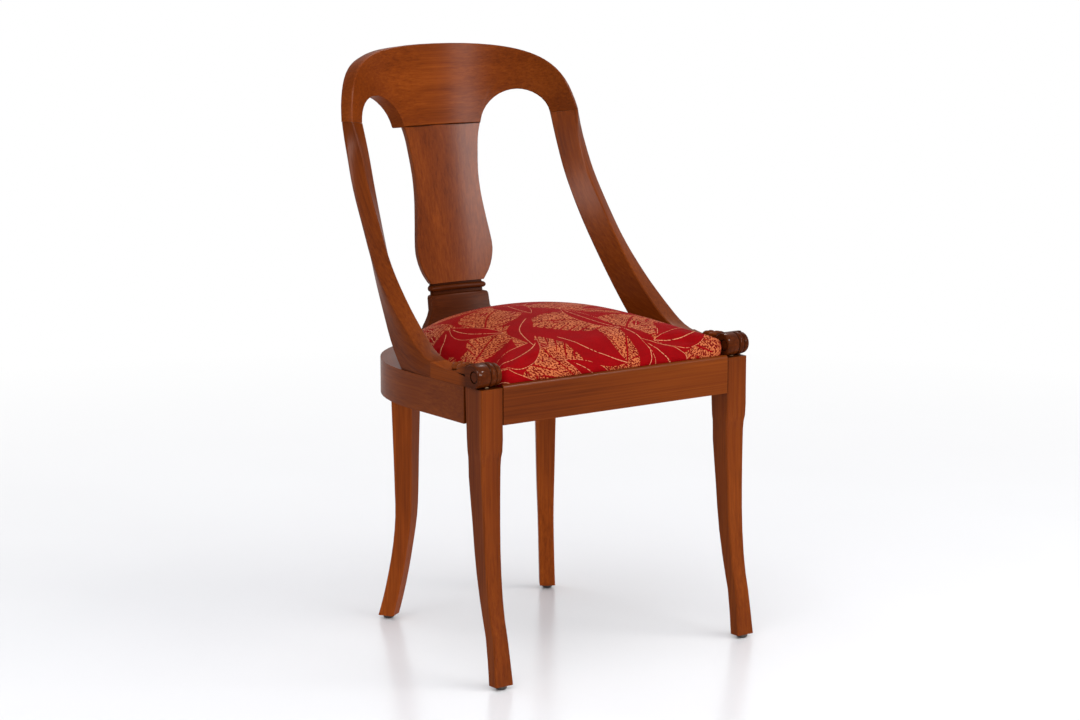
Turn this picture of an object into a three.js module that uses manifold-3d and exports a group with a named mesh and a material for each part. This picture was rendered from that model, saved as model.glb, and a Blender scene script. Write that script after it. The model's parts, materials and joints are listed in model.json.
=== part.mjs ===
// Gondola (klismos) dining chair: horseshoe seat frame, sabre legs, barrel-shaped back, drop-in seat.
// Millimetres, Z up. The chair faces -Y, X runs across it, and Z is zero where its glides stand.
// While it is built, Y is zero at the front face of the seat frame. The finished group is centred.

import * as THREE from "three";
import { mergeVertices } from "three/addons/utils/BufferGeometryUtils.js";
import Module from "manifold-3d";

const wasm = await Module();
wasm.setup();

// Fits
const seatGap = 0.3;
const holeClearance = 0.25;
const cutOverrun = 20;

// Seat frame
const seatHalfWidth = 242;
const seatDepth = 416;
const hoopStart = 171;
const hoopPowerShare = 2.25;
const railUnderside = 374;
const railHeight = 53;
const railThickness = 28;
const frontRailRise = 4;
const frontRailRounding = 5;
const frontRailLip = 6;
const ledgeDrop = 16;
const hoopStepsPerSide = 12;

// Front legs
const frontLegWidth = 37;
const frontLegDepth = 41.5;
const frontLegSetback = 1.5;
const frontLegSweep = 28;
const frontFootDepth = 18;
const frontFootWidth = 31;
const legEdge = 1.6;

// Back legs
const backLegTurn = THREE.MathUtils.degToRad(56.5);
const backLegSplayTurn = THREE.MathUtils.degToRad(48);
const backLegSize = 35.5;
const backFootSize = 25;
const backLegSetback = 3;
const backLegSplay = 30.5;

// Glides
const glideRadius = 8.5;
const glideHeight = 5.5;
const glideStemRadius = 2;
const glideStemLength = 12;

// Back: the crest rail is bent to a plan radius and leans a little
const backRise = 344;
const crestJointSlant = 5;
const crestHeight = 106;
const crestSetIn = 5.5;
const crestEndWidth = 34.5;
const crestRadiusShare = 1.453;
const crestMiddleThickness = 26;
const crestEndThickness = 20;
const crestTipRounding = 8;
const crestEdgeTiltShare = 0.15;
const tongueHalfWidth = 71;
const tongueDrop = 19.5;
const archRise = 32;
const archPeakShare = 0.592;
const backLean = 59;

// Stiles
const stileJointDepth = 126;
const stileRounding = 4;

// Splat and its shoe
const splatThickness = 11;
const shoeHeight = 83;
const splatEdge = 1.5;
const tenonLength = 13;
const tenonThickness = 5;
const tenonSetback = 4.8;
const crestTenonHalfWidth = 52;
const shoeTenonHalfWidth = 38;
const shoeTopHalfWidth = 55;
const shoeBaseHalfWidth = 78;
const shoeTopDepth = 12;
const shoeBaseDepth = 18.5;
const shoeCorner = 2.5;
const beadHalfHeight = 4.6;
const beadProud = 1.2;
const grooveDepth = 3;
const grooveHeight = 3;
const lowGrooveHeight = 6;

// Scroll blocks
const scrollRadius = 17.5;
const scrollWidth = 42;
const scrollOverhang = 4;
const scrollProud = 1.5;
const eyeRadius = 7.2;
const eyeForward = 5;
const eyeSink = 0.7;
const voluteRelief = 2.2;
const voluteGroove = 1.7;
const notchLength = 30;
const notchHeight = 4.5;
const leafHeight = 10;
const leafLength = 17;
const leafWidth = 6;
const leafPlace = 36;
const leafRaise = 4.5;

// Drop-in seat
const boardThickness = 10;
const seatClearance = 4.8;
const seatLegClearance = 1.5;
const coverThickness = 2;
const coverClearance = 0.5;
const seatCornerRadius = 15;
const seatCrownHeight = 72;
const seatSideWall = 17;
const seatFrontWall = 27;
const seatCrownPowerShare = 2.2;
const dustCoverThickness = 0.8;
const dustCoverInset = 9;
const legNotchRun = 14;

// Blocks and fasteners
const blockHeight = 25;
const blockArm = 45;
const backBlockSpan = THREE.MathUtils.degToRad(17);
const backBlockDepth = 24;
const dowelRadius = 4;
const dowelLength = 30;
const thinDowelRadius = 3;
const thinDowelLength = 22;
const boltRadius = 3;
const boltHeadRadius = 7;
const boltHeadHeight = 3;
const boltBite = 18;
const seatScrewRadius = 2;
const seatScrewHeadRadius = 4;
const seatScrewHeadHeight = 2.5;
const seatScrewBite = 7;
const roundSides = 10;

// Shares of the named sizes, chosen by hand
// Each stile station: front edge (height, depth, inset), back edge (height, depth, inset),
// thickness and turn. Heights are shares of the stile's rise, depths of its reach, insets of
// stileInset, thickness from the crest's end to the rail, turn from the crest's end to the side.
const stileShares = [
  [1.0, 1.0, 0.14, 1.0, 1.107, 1.0, 0.0, 0.0],
  [0.869, 0.947, 0.305, 0.862, 1.04, 1.005, 0.58, 0.42],
  [0.726, 0.868, 0.285, 0.705, 0.959, 0.94, 0.74, 0.52],
  [0.569, 0.73, 0.19, 0.533, 0.841, 0.79, 0.78, 0.46],
  [0.417, 0.587, 0.095, 0.367, 0.706, 0.6, 0.87, 0.5],
  [0.277, 0.418, 0.07, 0.213, 0.569, 0.41, 0.94, 0.74],
  [0.16, 0.237, 0.05, 0.08, 0.438, 0.21, 1.0, 0.97],
  [0.084, 0.076, 0.02, -0.03, 0.28, 0.08, 1.05, 1.0],
  [0.056, -0.1, 0.0, -0.12, 0.12, 0.0, 1.0, 1.0],
  [0.05, -0.3, 0.0, -0.16, -0.1, 0.0, 1.0, 1.0],
];
// Line of the back's front face at the middle: height share from rail to crest top, lean share.
const backLineShares = [
  [0, -0.249],
  [0.184, 0],
  [0.454, 0.37],
  [0.723, 0.76],
  [0.82, 0.88],
  [1, 1],
];
// Crest outline: handles of the half outline, as shares of its half width and its height.
const crestHandleShares = { side: [0.94, 0.79], top: [0.791, 1] };
// Arch: handles of its outer and inner quarter, across and up, as shares of each quarter's size.
const archHandleShares = {
  outerFoot: [0.05, 0.65],
  outerTop: [0.55, 1],
  innerTop: [0.44, 1],
  innerFoot: [0.92, 0.55],
};
// Splat: half width by height, as shares of the tongue's half width and of the splat's length.
const splatShares = [
  [1, 1],
  [0.93, 0.93],
  [0.885, 0.84],
  [0.835, 0.69],
  [0.845, 0.55],
  [0.905, 0.4],
  [0.98, 0.24],
  [0.96, 0.155],
  [0.86, 0.07],
  [0.7, 0],
];
// Front leg: height, front face, back face, half width, each a share of the run between its two ends.
const frontLegShares = [
  [1, 0, 1, 1],
  [0.9, 0, 0.965, 1],
  [0.8, 0, 0.925, 1],
  [0.755, 0.1, 0.905, 0.55],
  [0.69, 0.11, 0.91, 0.3],
  [0.545, 0.036, 0.806, -0.35],
  [0.395, -0.07, 0.68, -0.67],
  [0.25, -0.34, 0.447, -0.95],
  [0.143, -0.71, 0.204, -0.88],
  [0, -1, 0, 0],
];
// Back leg: height, splay and size shares.
const backLegShares = [
  [1, 0, 1],
  [0.86, 0, 0.79],
  [0.69, 0, 0.52],
  [0.54, 0, 0.33],
  [0.43, 0.03, 0.14],
  [0.31, 0.2, -0.04],
  [0.19, 0.45, -0.05],
  [0.08, 0.74, -0.04],
  [0, 1, 0],
];
// Shoe below its bead: height, flare and depth shares.
const shoeShares = [
  [1, -0.08, 0.05],
  [0.95, -0.02, 0.2],
  [0.66, 0.01, 0.25],
  [0.54, 0.17, 0.35],
  [0.42, 0.42, 0.55],
  [0.31, 0.7, 0.78],
  [0.2, 0.88, 0.92],
  [0.1, 0.97, 0.98],
  [0, 1, 1],
];
// Seat rings, as shares of the way out from the middle of its plan: outer skin, and inner skin with foam
const outerDomeShares = [0.1, 0.3, 0.48, 0.64, 0.77, 0.87, 0.94, 0.985];
const innerDomeShares = [0.3, 0.6, 0.8, 0.93];
const seatMiddleShare = 0.47;
const seatFrontSteps = 6;
const seatCornerSteps = 4;
const seatHoopSteps = 13;
const blockSteps = 3;
const frontDowelShares = [0.27, 0.75];
const sideDowelShares = [0.26, 0.76];
const stileDowelShares = [0.28, 0.72];
const backBoltShares = [0.2, 0.8];
const seatScrewShare = 0.62;
const backDowelInsetShare = 0.57;
const crestAcross = 4;
const stileAcross = 2;
const splatAcross = 5;
const beadSteps = 6;
// Volute: way across from its plain end, and radius. A plain band, two grooves and two reeds.
const voluteShares = [
  [0, 0.92],
  [0.03, 0.985],
  [0.07, 1],
  [0.47, 0.995],
  [0.505, 0.955],
  [0.53, 0.87],
  [0.555, 0.94],
  [0.6, 0.985],
  [0.67, 0.99],
  [0.73, 0.95],
  [0.765, 0.85],
  [0.8, 0.91],
  [0.86, 0.94],
  [0.93, 0.91],
  [0.98, 0.83],
  [1, 0.72],
];
// Strip: way back from the volute's middle to the stile's joint, and height up to the volute's top.
const stripShares = [
  [0, 1],
  [0.09, 0.975],
  [0.23, 0.81],
  [0.42, 0.57],
  [0.66, 0.495],
];
// Leaf lobes: way across the strip, way back in leaf lengths, and size.
const leafLobeShares = [
  [0.24, 0.1, 0.85],
  [0.5, 0, 1],
  [0.76, 0.1, 0.85],
  [0.36, 1.15, 0.8],
  [0.64, 1.15, 0.8],
];
// Glide: way out and way up.
const glideShares = [
  [0, 0],
  [0.6, 0],
  [0.9, 0.2],
  [1, 0.5],
  [1, 1],
];
const coverWallShare = 0.7;
const backDowelSpreadShare = 0.25;
const blockScrewShare = 0.2;

// Derived places
const sideRailTop = railUnderside + railHeight;
const splatFoot = sideRailTop + shoeHeight;
const crestJointHeight = sideRailTop + backRise;
const frontRailTop = sideRailTop + frontRailRise;
const ledgeHeight = frontRailTop - ledgeDrop;
const seatTop = frontRailTop + seatCrownHeight;
const hoopDepth = seatDepth - hoopStart;
const railInner = seatHalfWidth - railThickness;
const legOuter = seatHalfWidth - frontLegSetback;
const legInner = legOuter - frontLegWidth;
const legMiddle = legOuter - frontLegWidth / 2;
const crestTop = crestJointHeight + crestHeight;
const crestHalfWidth = railInner - crestSetIn;
const crestRadius = crestHalfWidth * crestRadiusShare;
const crestInner = crestHalfWidth - crestEndWidth;
const stileInset = crestSetIn + crestEndWidth;
const tongueFoot = crestJointHeight - tongueDrop;
const legFoot = glideHeight + seatGap;
const backTopDepth = seatDepth + backLean;
const stileFoot = sideRailTop + seatGap;
const backDowelTurn = (backLegSize * backDowelSpreadShare) / hoopDepth;
const backDowelTurns = [-backDowelTurn, backDowelTurn];
const backDowelInset = railThickness * backDowelInsetShare;

// Materials
function wood(colour, roughness) {
  return new THREE.MeshStandardMaterial({ color: colour, roughness, metalness: 0 });
}
const paint = {
  showWood: () => wood(0x7d3a1c, 0.32),
  frameWood: () => wood(0x84421f, 0.36),
  carvedWood: () => wood(0x4a2415, 0.3),
  rawWood: () => wood(0xc39a66, 0.7),
  plywood: () => wood(0xb98d58, 0.75),
  foam: () => wood(0xd9c98a, 0.95),
  damask: () => wood(0xa31420, 0.8),
  cambric: () => wood(0x17171a, 0.95),
  glide: () => wood(0x2a211c, 0.5),
  steel: () => new THREE.MeshStandardMaterial({ color: 0x9a9a98, roughness: 0.35, metalness: 1 }),
};

// Solids and geometry
function bareGeometry(geometry) {
  const bare = new THREE.BufferGeometry();
  bare.setAttribute("position", geometry.getAttribute("position"));
  if (geometry.index) bare.setIndex(geometry.index);
  return mergeVertices(bare);
}

function solidOf(geometry) {
  const bare = bareGeometry(geometry);
  const vertProperties = new Float32Array(bare.attributes.position.array);
  const triVerts = new Uint32Array(bare.index.array);
  return new wasm.Manifold(new wasm.Mesh({ numProp: 3, vertProperties, triVerts }));
}

function geometryOf(solid) {
  const mesh = solid.getMesh();
  const geometry = new THREE.BufferGeometry();
  geometry.setAttribute("position", new THREE.BufferAttribute(new Float32Array(mesh.vertProperties), 3));
  geometry.setIndex(new THREE.BufferAttribute(new Uint32Array(mesh.triVerts), 1));
  return geometry;
}

function combine(base, added, cutters) {
  let solid = solidOf(base);
  for (const piece of added) solid = solid.add(solidOf(piece));
  for (const cutter of cutters) solid = solid.subtract(solidOf(cutter));
  return geometryOf(solid);
}

function signedVolume(positions, index) {
  const a = new THREE.Vector3();
  const b = new THREE.Vector3();
  const c = new THREE.Vector3();
  let sum = 0;
  for (let i = 0; i < index.length; i += 3) {
    a.fromArray(positions, 3 * index[i]);
    b.fromArray(positions, 3 * index[i + 1]);
    c.fromArray(positions, 3 * index[i + 2]);
    sum += a.dot(b.cross(c));
  }
  return sum;
}

function indexedGeometry(positions, index) {
  if (signedVolume(positions, index) < 0) index.reverse();
  const geometry = new THREE.BufferGeometry();
  geometry.setAttribute("position", new THREE.Float32BufferAttribute(positions, 3));
  geometry.setIndex(index);
  return geometry;
}

function stitchRings(index, first, second, count) {
  for (let i = 0; i < count; i += 1) {
    const next = (i + 1) % count;
    index.push(first + i, second + i, second + next, first + i, second + next, first + next);
  }
}

// Closed skin through rings of points. Each end closes on the middle of its ring.
function loftRings(rings) {
  const count = rings[0].length;
  const positions = [];
  const index = [];
  for (const ring of rings) for (const point of ring) positions.push(...point.toArray());
  for (let k = 0; k + 1 < rings.length; k += 1) stitchRings(index, k * count, (k + 1) * count, count);
  const ends = [rings[0], rings[rings.length - 1]];
  ends.forEach((ring, end) => {
    const middle = ring.reduce((sum, point) => sum.add(point), new THREE.Vector3()).divideScalar(count);
    const centre = positions.length / 3;
    const first = end * (rings.length - 1) * count;
    positions.push(...middle.toArray());
    for (let i = 0; i < count; i += 1) {
      const pair = [first + i, first + ((i + 1) % count)];
      index.push(centre, pair[end], pair[1 - end]);
    }
  });
  return indexedGeometry(positions, index);
}

function mirrored(geometry) {
  const copy = bareGeometry(geometry);
  copy.scale(-1, 1, 1);
  copy.index.array.reverse();
  return copy;
}

function prism(points, bottom, top) {
  const shape = new THREE.Shape(points);
  const body = new THREE.ExtrudeGeometry(shape, { depth: top - bottom, bevelEnabled: false });
  return body.translate(0, 0, bottom);
}

// A profile drawn in depth and height, extruded across the chair.
function acrossPrism(shape, left, right, curveSegments) {
  const body = new THREE.ExtrudeGeometry(shape, { depth: right - left, bevelEnabled: false, curveSegments });
  const turn = new THREE.Matrix4().makeBasis(
    new THREE.Vector3(0, 1, 0),
    new THREE.Vector3(0, 0, 1),
    new THREE.Vector3(1, 0, 0),
  );
  return body.applyMatrix4(turn).translate(left, 0, 0);
}

function block(low, high) {
  const size = high.clone().sub(low);
  const middle = low.clone().add(high).multiplyScalar(0.5);
  return new THREE.BoxGeometry(size.x, size.y, size.z).translate(middle.x, middle.y, middle.z);
}

function rod(start, direction, length, radius) {
  const body = new THREE.CylinderGeometry(radius, radius, length, roundSides).translate(0, length / 2, 0);
  const turn = new THREE.Quaternion().setFromUnitVectors(new THREE.Vector3(0, 1, 0), direction);
  return body.applyQuaternion(turn).translate(start.x, start.y, start.z);
}

// Smooth value of a table's column at a share of its length.
function columnAt(table, column, share) {
  const curve = new THREE.SplineCurve(table.map((row, i) => new THREE.Vector2(i, row[column])));
  return curve.getPoint(share).y;
}

function mix(from, to, share) {
  return from + (to - from) * share;
}

// Point of the seat frame's plan curve on the right, inset square to it. Turn 0 is the side.
function hoopPoint(turn, inset) {
  const power = 2 / hoopPowerShare;
  const across = Math.pow(Math.max(Math.cos(turn), 0), power);
  const back = Math.pow(Math.sin(turn), power);
  const normal = hoopNormal(turn);
  const x = seatHalfWidth * across - inset * normal.x;
  const y = hoopStart + hoopDepth * back - inset * normal.y;
  return new THREE.Vector2(x, y);
}

function hoopNormal(turn) {
  const power = 2 / hoopPowerShare;
  const across = Math.pow(Math.max(Math.cos(turn), 0), power);
  const back = Math.pow(Math.sin(turn), power);
  const slope = hoopPowerShare - 1;
  const x = Math.pow(across, slope) / seatHalfWidth;
  const y = Math.pow(back, slope) / hoopDepth;
  return new THREE.Vector2(x, y).normalize();
}

function hoopArc(from, to, inset, steps) {
  return Array.from({ length: steps + 1 }, (_, i) => hoopPoint(mix(from, to, i / steps), inset));
}

function flipped(points) {
  return points.map((point) => new THREE.Vector2(-point.x, point.y)).reverse();
}

// Dowels and the holes that they fill
const drillings = new Map();

function drill(names, cutter) {
  for (const name of names) drillings.set(name, [...(drillings.get(name) ?? []), cutter]);
}

const chair = new THREE.Group();

function addPiece(name, geometry, material, added = []) {
  const cutters = drillings.get(name) ?? [];
  const body = cutters.length + added.length ? combine(geometry, added, cutters) : bareGeometry(geometry);
  body.computeVertexNormals();
  const mesh = new THREE.Mesh(body, material);
  mesh.name = name;
  chair.add(mesh);
}

const dowels = [];

function placeDowel(name, middle, direction, holders, length = dowelLength, radius = dowelRadius) {
  const start = middle.clone().addScaledVector(direction, -length / 2);
  const holeStart = start.clone().addScaledVector(direction, -holeClearance);
  dowels.push({ name, geometry: rod(start, direction, length, radius) });
  drill(holders, rod(holeStart, direction, length + 2 * holeClearance, radius + holeClearance));
}

function onBothSides(action) {
  for (const side of [-1, 1]) action(side, side < 0 ? "left" : "right");
}

const acrossAxis = new THREE.Vector3(1, 0, 0);
const depthAxis = new THREE.Vector3(0, 1, 0);
const heightAxis = new THREE.Vector3(0, 0, 1);

// Rails
function frontRailGeometry() {
  const shape = new THREE.Shape();
  shape.moveTo(railThickness, railUnderside);
  shape.lineTo(railThickness, ledgeHeight);
  shape.lineTo(frontRailLip, ledgeHeight);
  shape.lineTo(frontRailLip, frontRailTop);
  shape.lineTo(frontRailRounding, frontRailTop);
  const centre = frontRailTop - frontRailRounding;
  shape.absarc(frontRailRounding, centre, frontRailRounding, Math.PI / 2, Math.PI, false);
  shape.lineTo(0, railUnderside);
  return acrossPrism(shape, seatGap - legInner, legInner - seatGap, 5);
}

function sideRailGeometry() {
  const start = frontLegDepth + seatGap;
  const end = backLegTurn - seatGap / seatHalfWidth;
  const outer = hoopArc(0, end, 0, hoopStepsPerSide);
  const inner = hoopArc(0, end, railThickness, hoopStepsPerSide).reverse();
  const front = [new THREE.Vector2(railInner, start), new THREE.Vector2(seatHalfWidth, start)];
  return prism([...front, ...outer, ...inner], railUnderside, sideRailTop);
}

function backRailGeometry() {
  const outer = hoopArc(backLegTurn, Math.PI / 2, 0, hoopStepsPerSide);
  const inner = hoopArc(backLegTurn, Math.PI / 2, railThickness, hoopStepsPerSide);
  const back = [...outer, ...flipped(outer).slice(1)];
  const front = [...flipped(inner).reverse(), ...inner.slice(0, -1).reverse()];
  return prism([...back, ...front], railUnderside, sideRailTop);
}

// Legs
function squareRing(centre, along, across, halfAlong, halfAcross) {
  const corners = [
    [-1, -1, 0],
    [-1, -1, 1],
    [1, -1, 1],
    [1, -1, 0],
    [1, 1, 0],
    [1, 1, 1],
    [-1, 1, 1],
    [-1, 1, 0],
  ];
  return corners.map(([u, v, alongEdge]) => {
    const reachAlong = u * (halfAlong - alongEdge * legEdge);
    const reachAcross = v * (halfAcross - (1 - alongEdge) * legEdge);
    return centre.clone().addScaledVector(along, reachAlong).addScaledVector(across, reachAcross);
  });
}

const legSteps = 16;

function frontLegGeometry() {
  const rings = [];
  for (let i = 0; i <= legSteps; i += 1) {
    const share = i / legSteps;
    const height = mix(legFoot, sideRailTop, columnAt(frontLegShares, 0, share));
    const face = frontLegSweep * columnAt(frontLegShares, 1, share);
    const footBack = frontFootDepth - frontLegSweep;
    const back = mix(footBack, frontLegDepth, columnAt(frontLegShares, 2, share));
    const halfWidth = mix(frontFootWidth, frontLegWidth, columnAt(frontLegShares, 3, share)) / 2;
    const centre = new THREE.Vector3(legMiddle, (face + back) / 2, height);
    rings.push(squareRing(centre, acrossAxis, depthAxis, halfWidth, (back - face) / 2));
  }
  return loftRings(rings);
}

function backLegPlace(splayShare) {
  const top = hoopPoint(backLegTurn, backLegSetback + backLegSize / 2);
  const out = new THREE.Vector2(Math.cos(backLegSplayTurn), Math.sin(backLegSplayTurn));
  return top.addScaledVector(out, backLegSplay * splayShare);
}

function backLegGeometry() {
  const rings = [];
  const normal = hoopNormal(backLegTurn);
  const outward = new THREE.Vector3(normal.x, normal.y, 0);
  const sideways = new THREE.Vector3(-normal.y, normal.x, 0);
  for (let i = 0; i <= legSteps; i += 1) {
    const share = i / legSteps;
    const height = mix(legFoot, railUnderside - seatGap, columnAt(backLegShares, 0, share));
    const place = backLegPlace(columnAt(backLegShares, 1, share));
    const half = mix(backFootSize, backLegSize, columnAt(backLegShares, 2, share)) / 2;
    rings.push(squareRing(new THREE.Vector3(place.x, place.y, height), outward, sideways, half, half));
  }
  return loftRings(rings);
}

// Glide: a low domed stud with its stem
function glideGeometry() {
  const profile = glideShares.map(([out, up]) => new THREE.Vector2(out * glideRadius, up * glideHeight));
  profile.push(new THREE.Vector2(glideStemRadius, glideHeight));
  profile.push(new THREE.Vector2(glideStemRadius, glideHeight + glideStemLength));
  profile.push(new THREE.Vector2(0, glideHeight + glideStemLength));
  return new THREE.LatheGeometry(profile, roundSides).rotateX(Math.PI / 2);
}

function glideHole(place) {
  const start = new THREE.Vector3(place.x, place.y, 0);
  const length = glideHeight + glideStemLength + holeClearance;
  return rod(start, heightAxis, length, glideStemRadius + holeClearance);
}

// Barrel face of the back: depth of its front face, and the plan direction in which it is thick
function backLineDepth(height) {
  const share = (height - sideRailTop) / (crestTop - sideRailTop);
  const rows = backLineShares;
  let k = 0;
  while (k + 2 < rows.length && rows[k + 1][0] < share) k += 1;
  const local = (share - rows[k][0]) / (rows[k + 1][0] - rows[k][0]);
  const lean = mix(rows[k][1], rows[k + 1][1], local);
  return backTopDepth - backLean + lean * backLean;
}

function barrelPoint(x, height) {
  const sagitta = crestRadius - Math.sqrt(crestRadius * crestRadius - x * x);
  return new THREE.Vector3(x, backLineDepth(height) - sagitta, height);
}

function barrelNormal(x) {
  const sine = x / crestRadius;
  return new THREE.Vector3(sine, Math.sqrt(1 - sine * sine), 0);
}

// Ring round a band: from its outer edge across the front, round the inner edge and back behind.
function bandRing(faceAt, width, thickness, outward, roundings, across) {
  const ring = [];
  const push = (share, depth) => ring.push(faceAt(share).addScaledVector(outward, depth));
  const { front, back } = roundings;
  push(0, front);
  for (let i = 0; i <= across; i += 1) push(mix(front / width, 1 - front / width, i / across), 0);
  push(1, front);
  push(1, thickness - front);
  const bend = Math.SQRT1_2;
  for (let i = across; i >= 0; i -= 1) push(mix(back / width, 1 - front / width, i / across), thickness);
  push((back * (1 - bend)) / width, thickness - back * (1 - bend));
  push(0, thickness - back);
  return ring;
}

// Crest rail
function crestThickness(x) {
  const share = (x / crestHalfWidth) ** 2;
  return mix(crestMiddleThickness, crestEndThickness, share);
}

function halfCrestOutline() {
  const { side, top } = crestHandleShares;
  const height = (share) => crestJointHeight + share * crestHeight;
  return new THREE.CubicBezierCurve(
    new THREE.Vector2(crestHalfWidth, crestJointHeight),
    new THREE.Vector2(side[0] * crestHalfWidth, height(side[1])),
    new THREE.Vector2(top[0] * crestHalfWidth, height(top[1])),
    new THREE.Vector2(0, crestTop),
  );
}

function archCurves() {
  const { outerFoot, outerTop, innerTop, innerFoot } = archHandleShares;
  const peak = crestJointHeight + archRise;
  const archPeak = mix(tongueHalfWidth, crestInner, archPeakShare);
  const jointFoot = crestJointHeight - crestJointSlant;
  const outerRun = crestInner - archPeak;
  const innerRun = archPeak - tongueHalfWidth;
  const outerPoint = ([across, up]) =>
    new THREE.Vector2(crestInner - across * outerRun, mix(jointFoot, peak, up));
  const innerPoint = ([across, up]) =>
    new THREE.Vector2(archPeak - across * innerRun, mix(tongueFoot, peak, up));
  return [
    new THREE.CubicBezierCurve(
      new THREE.Vector2(crestInner, jointFoot),
      outerPoint(outerFoot),
      outerPoint(outerTop),
      new THREE.Vector2(archPeak, peak),
    ),
    new THREE.CubicBezierCurve(
      new THREE.Vector2(archPeak, peak),
      innerPoint(innerTop),
      innerPoint(innerFoot),
      new THREE.Vector2(tongueHalfWidth, tongueFoot),
    ),
  ];
}

const crestEndMiddle = (crestHalfWidth + crestInner) / 2;
const archSteps = [8, 9];
const tongueSteps = 4;
const archOutlineShares = [0, 0.44, 0.76];

function crestSections() {
  const outline = halfCrestOutline();
  const sections = [];
  archCurves().forEach((curve, part) => {
    for (let i = part; i <= archSteps[part]; i += 1) {
      const share = i / archSteps[part];
      const along = mix(archOutlineShares[part], archOutlineShares[part + 1], share);
      sections.push([outline.getPoint(along), curve.getPoint(share)]);
    }
  });
  for (let i = 1; i <= tongueSteps; i += 1) {
    const share = i / tongueSteps;
    const along = mix(archOutlineShares[2], 1, share);
    sections.push([outline.getPoint(along), new THREE.Vector2(mix(tongueHalfWidth, 0, share), tongueFoot)]);
  }
  return sections;
}

function crestRing([outer, inner], side) {
  const middle = (outer.x + inner.x) / 2;
  const width = outer.distanceTo(inner);
  const outward = barrelNormal(side * middle);
  outward.z = -crestEdgeTiltShare * (1 - (middle / crestEndMiddle) ** 2);
  const roundings = { front: splatEdge, back: crestTipRounding };
  const faceAt = (share) => barrelPoint(side * mix(outer.x, inner.x, share), mix(outer.y, inner.y, share));
  return bandRing(faceAt, width, crestThickness(middle), outward, roundings, crestAcross);
}

function crestGeometry() {
  const half = crestSections();
  const right = half.map((section) => crestRing(section, 1));
  const left = half.slice(0, -1).map((section) => crestRing(section, -1));
  return loftRings([...right, ...left.reverse()]);
}

// Stiles
const stileRise = crestJointHeight - sideRailTop;
const crestEndTurn = Math.asin(crestEndMiddle / crestRadius);
const stileReach = barrelPoint(crestHalfWidth, crestJointHeight).y - stileJointDepth;
const stileSteps = 31;

function stileEdge(share, firstColumn, drop) {
  const height = sideRailTop + stileRise * columnAt(stileShares, firstColumn, share) - drop;
  const depth = stileJointDepth + stileReach * columnAt(stileShares, firstColumn + 1, share);
  const x = railInner - stileInset * columnAt(stileShares, firstColumn + 2, share);
  return new THREE.Vector3(x, depth, height);
}

function stileStation(share) {
  const slant = crestJointSlant * Math.max(1 - 4 * share, 0);
  const front = stileEdge(share, 0, seatGap);
  const back = stileEdge(share, 3, seatGap + slant);
  const thickness = mix(crestEndThickness, railThickness, columnAt(stileShares, 6, share));
  const turn = mix(crestEndTurn, Math.PI / 2, columnAt(stileShares, 7, share));
  const outward = new THREE.Vector3(Math.sin(turn), Math.cos(turn), 0);
  return { front, back, thickness, outward };
}

function stileGeometry() {
  const rings = [];
  for (let i = 0; i <= stileSteps; i += 1) {
    const share = i / stileSteps;
    const { front, back, thickness, outward } = stileStation(share);
    const width = front.distanceTo(back);
    const rounding = mix(crestTipRounding, stileRounding, Math.min(2 * share, 1));
    const faceAt = (along) => front.clone().lerp(back, along);
    const roundings = { front: splatEdge, back: rounding };
    rings.push(bandRing(faceAt, width, thickness, outward, roundings, stileAcross));
  }
  return loftRings(rings);
}

function stileFootCutters() {
  const far = seatHalfWidth + cutOverrun;
  const low = railUnderside - seatDepth;
  return [
    block(new THREE.Vector3(0, -seatDepth, low), new THREE.Vector3(far, seatDepth, stileFoot)),
    block(new THREE.Vector3(0, -seatDepth, low), new THREE.Vector3(far, stileJointDepth, crestJointHeight)),
  ];
}

function stileHeightAt(depth) {
  let share = 1;
  while (stileStation(share).front.y < depth) share -= 1 / (stileSteps * stileSteps);
  return stileStation(share).front.z;
}

// Splat
function splatHalfWidth(share) {
  return tongueHalfWidth * columnAt(splatShares, 0, share);
}

function splatRing(halfWidth, height) {
  const outward = barrelNormal(0);
  const faceAt = (share) => barrelPoint(mix(-halfWidth, halfWidth, share), height);
  const roundings = { front: splatEdge, back: splatEdge };
  return bandRing(faceAt, 2 * halfWidth, splatThickness, outward, roundings, splatAcross);
}

const splatSteps = 21;

function splatGeometry() {
  const rings = [];
  for (let i = 0; i <= splatSteps; i += 1) {
    const share = i / splatSteps;
    const height = mix(splatFoot, tongueFoot - seatGap, columnAt(splatShares, 1, share));
    rings.push(splatRing(splatHalfWidth(share), height));
  }
  return loftRings(rings);
}

// Part of the back's thickness, from one depth behind its face to another, between two heights
function barrelSlab(halfWidth, bottom, top, front, back) {
  const across = [];
  for (let i = 0; i <= splatAcross; i += 1) across.push(mix(-halfWidth, halfWidth, i / splatAcross));
  const ringAt = (height) => {
    const row = (depth) => across.map((x) => barrelPoint(x, height).addScaledVector(depthAxis, depth));
    return [...row(front), ...row(back).reverse()];
  };
  return loftRings([ringAt(bottom), ringAt(top)]);
}

function tenonGeometry(halfWidth, bottom, top, clearance) {
  const front = tenonSetback - clearance;
  const back = tenonSetback + tenonThickness + clearance;
  return barrelSlab(halfWidth + clearance, bottom, top, front, back);
}

// Splat shoe: bead and grooves above a moulded base, curved like the splat behind and before
function shoeRing(height, halfWidth, proud) {
  const reach = halfWidth + proud;
  const flat = reach - shoeCorner;
  const face = (x) => new THREE.Vector3(x, barrelPoint(x, height).y - proud, height);
  const rear = (x) => new THREE.Vector3(x, barrelPoint(x, height).y + shoeTopDepth, height);
  const row = [];
  for (let i = 0; i <= splatAcross; i += 1) row.push(mix(-flat, flat, i / splatAcross));
  const corner = (x, at, step) => at(x).addScaledVector(depthAxis, step);
  return [
    ...row.map(face),
    corner(reach, face, shoeCorner),
    corner(reach, rear, -shoeCorner),
    ...row.reverse().map(rear),
    corner(-reach, rear, -shoeCorner),
    corner(-reach, face, shoeCorner),
  ];
}

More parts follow.
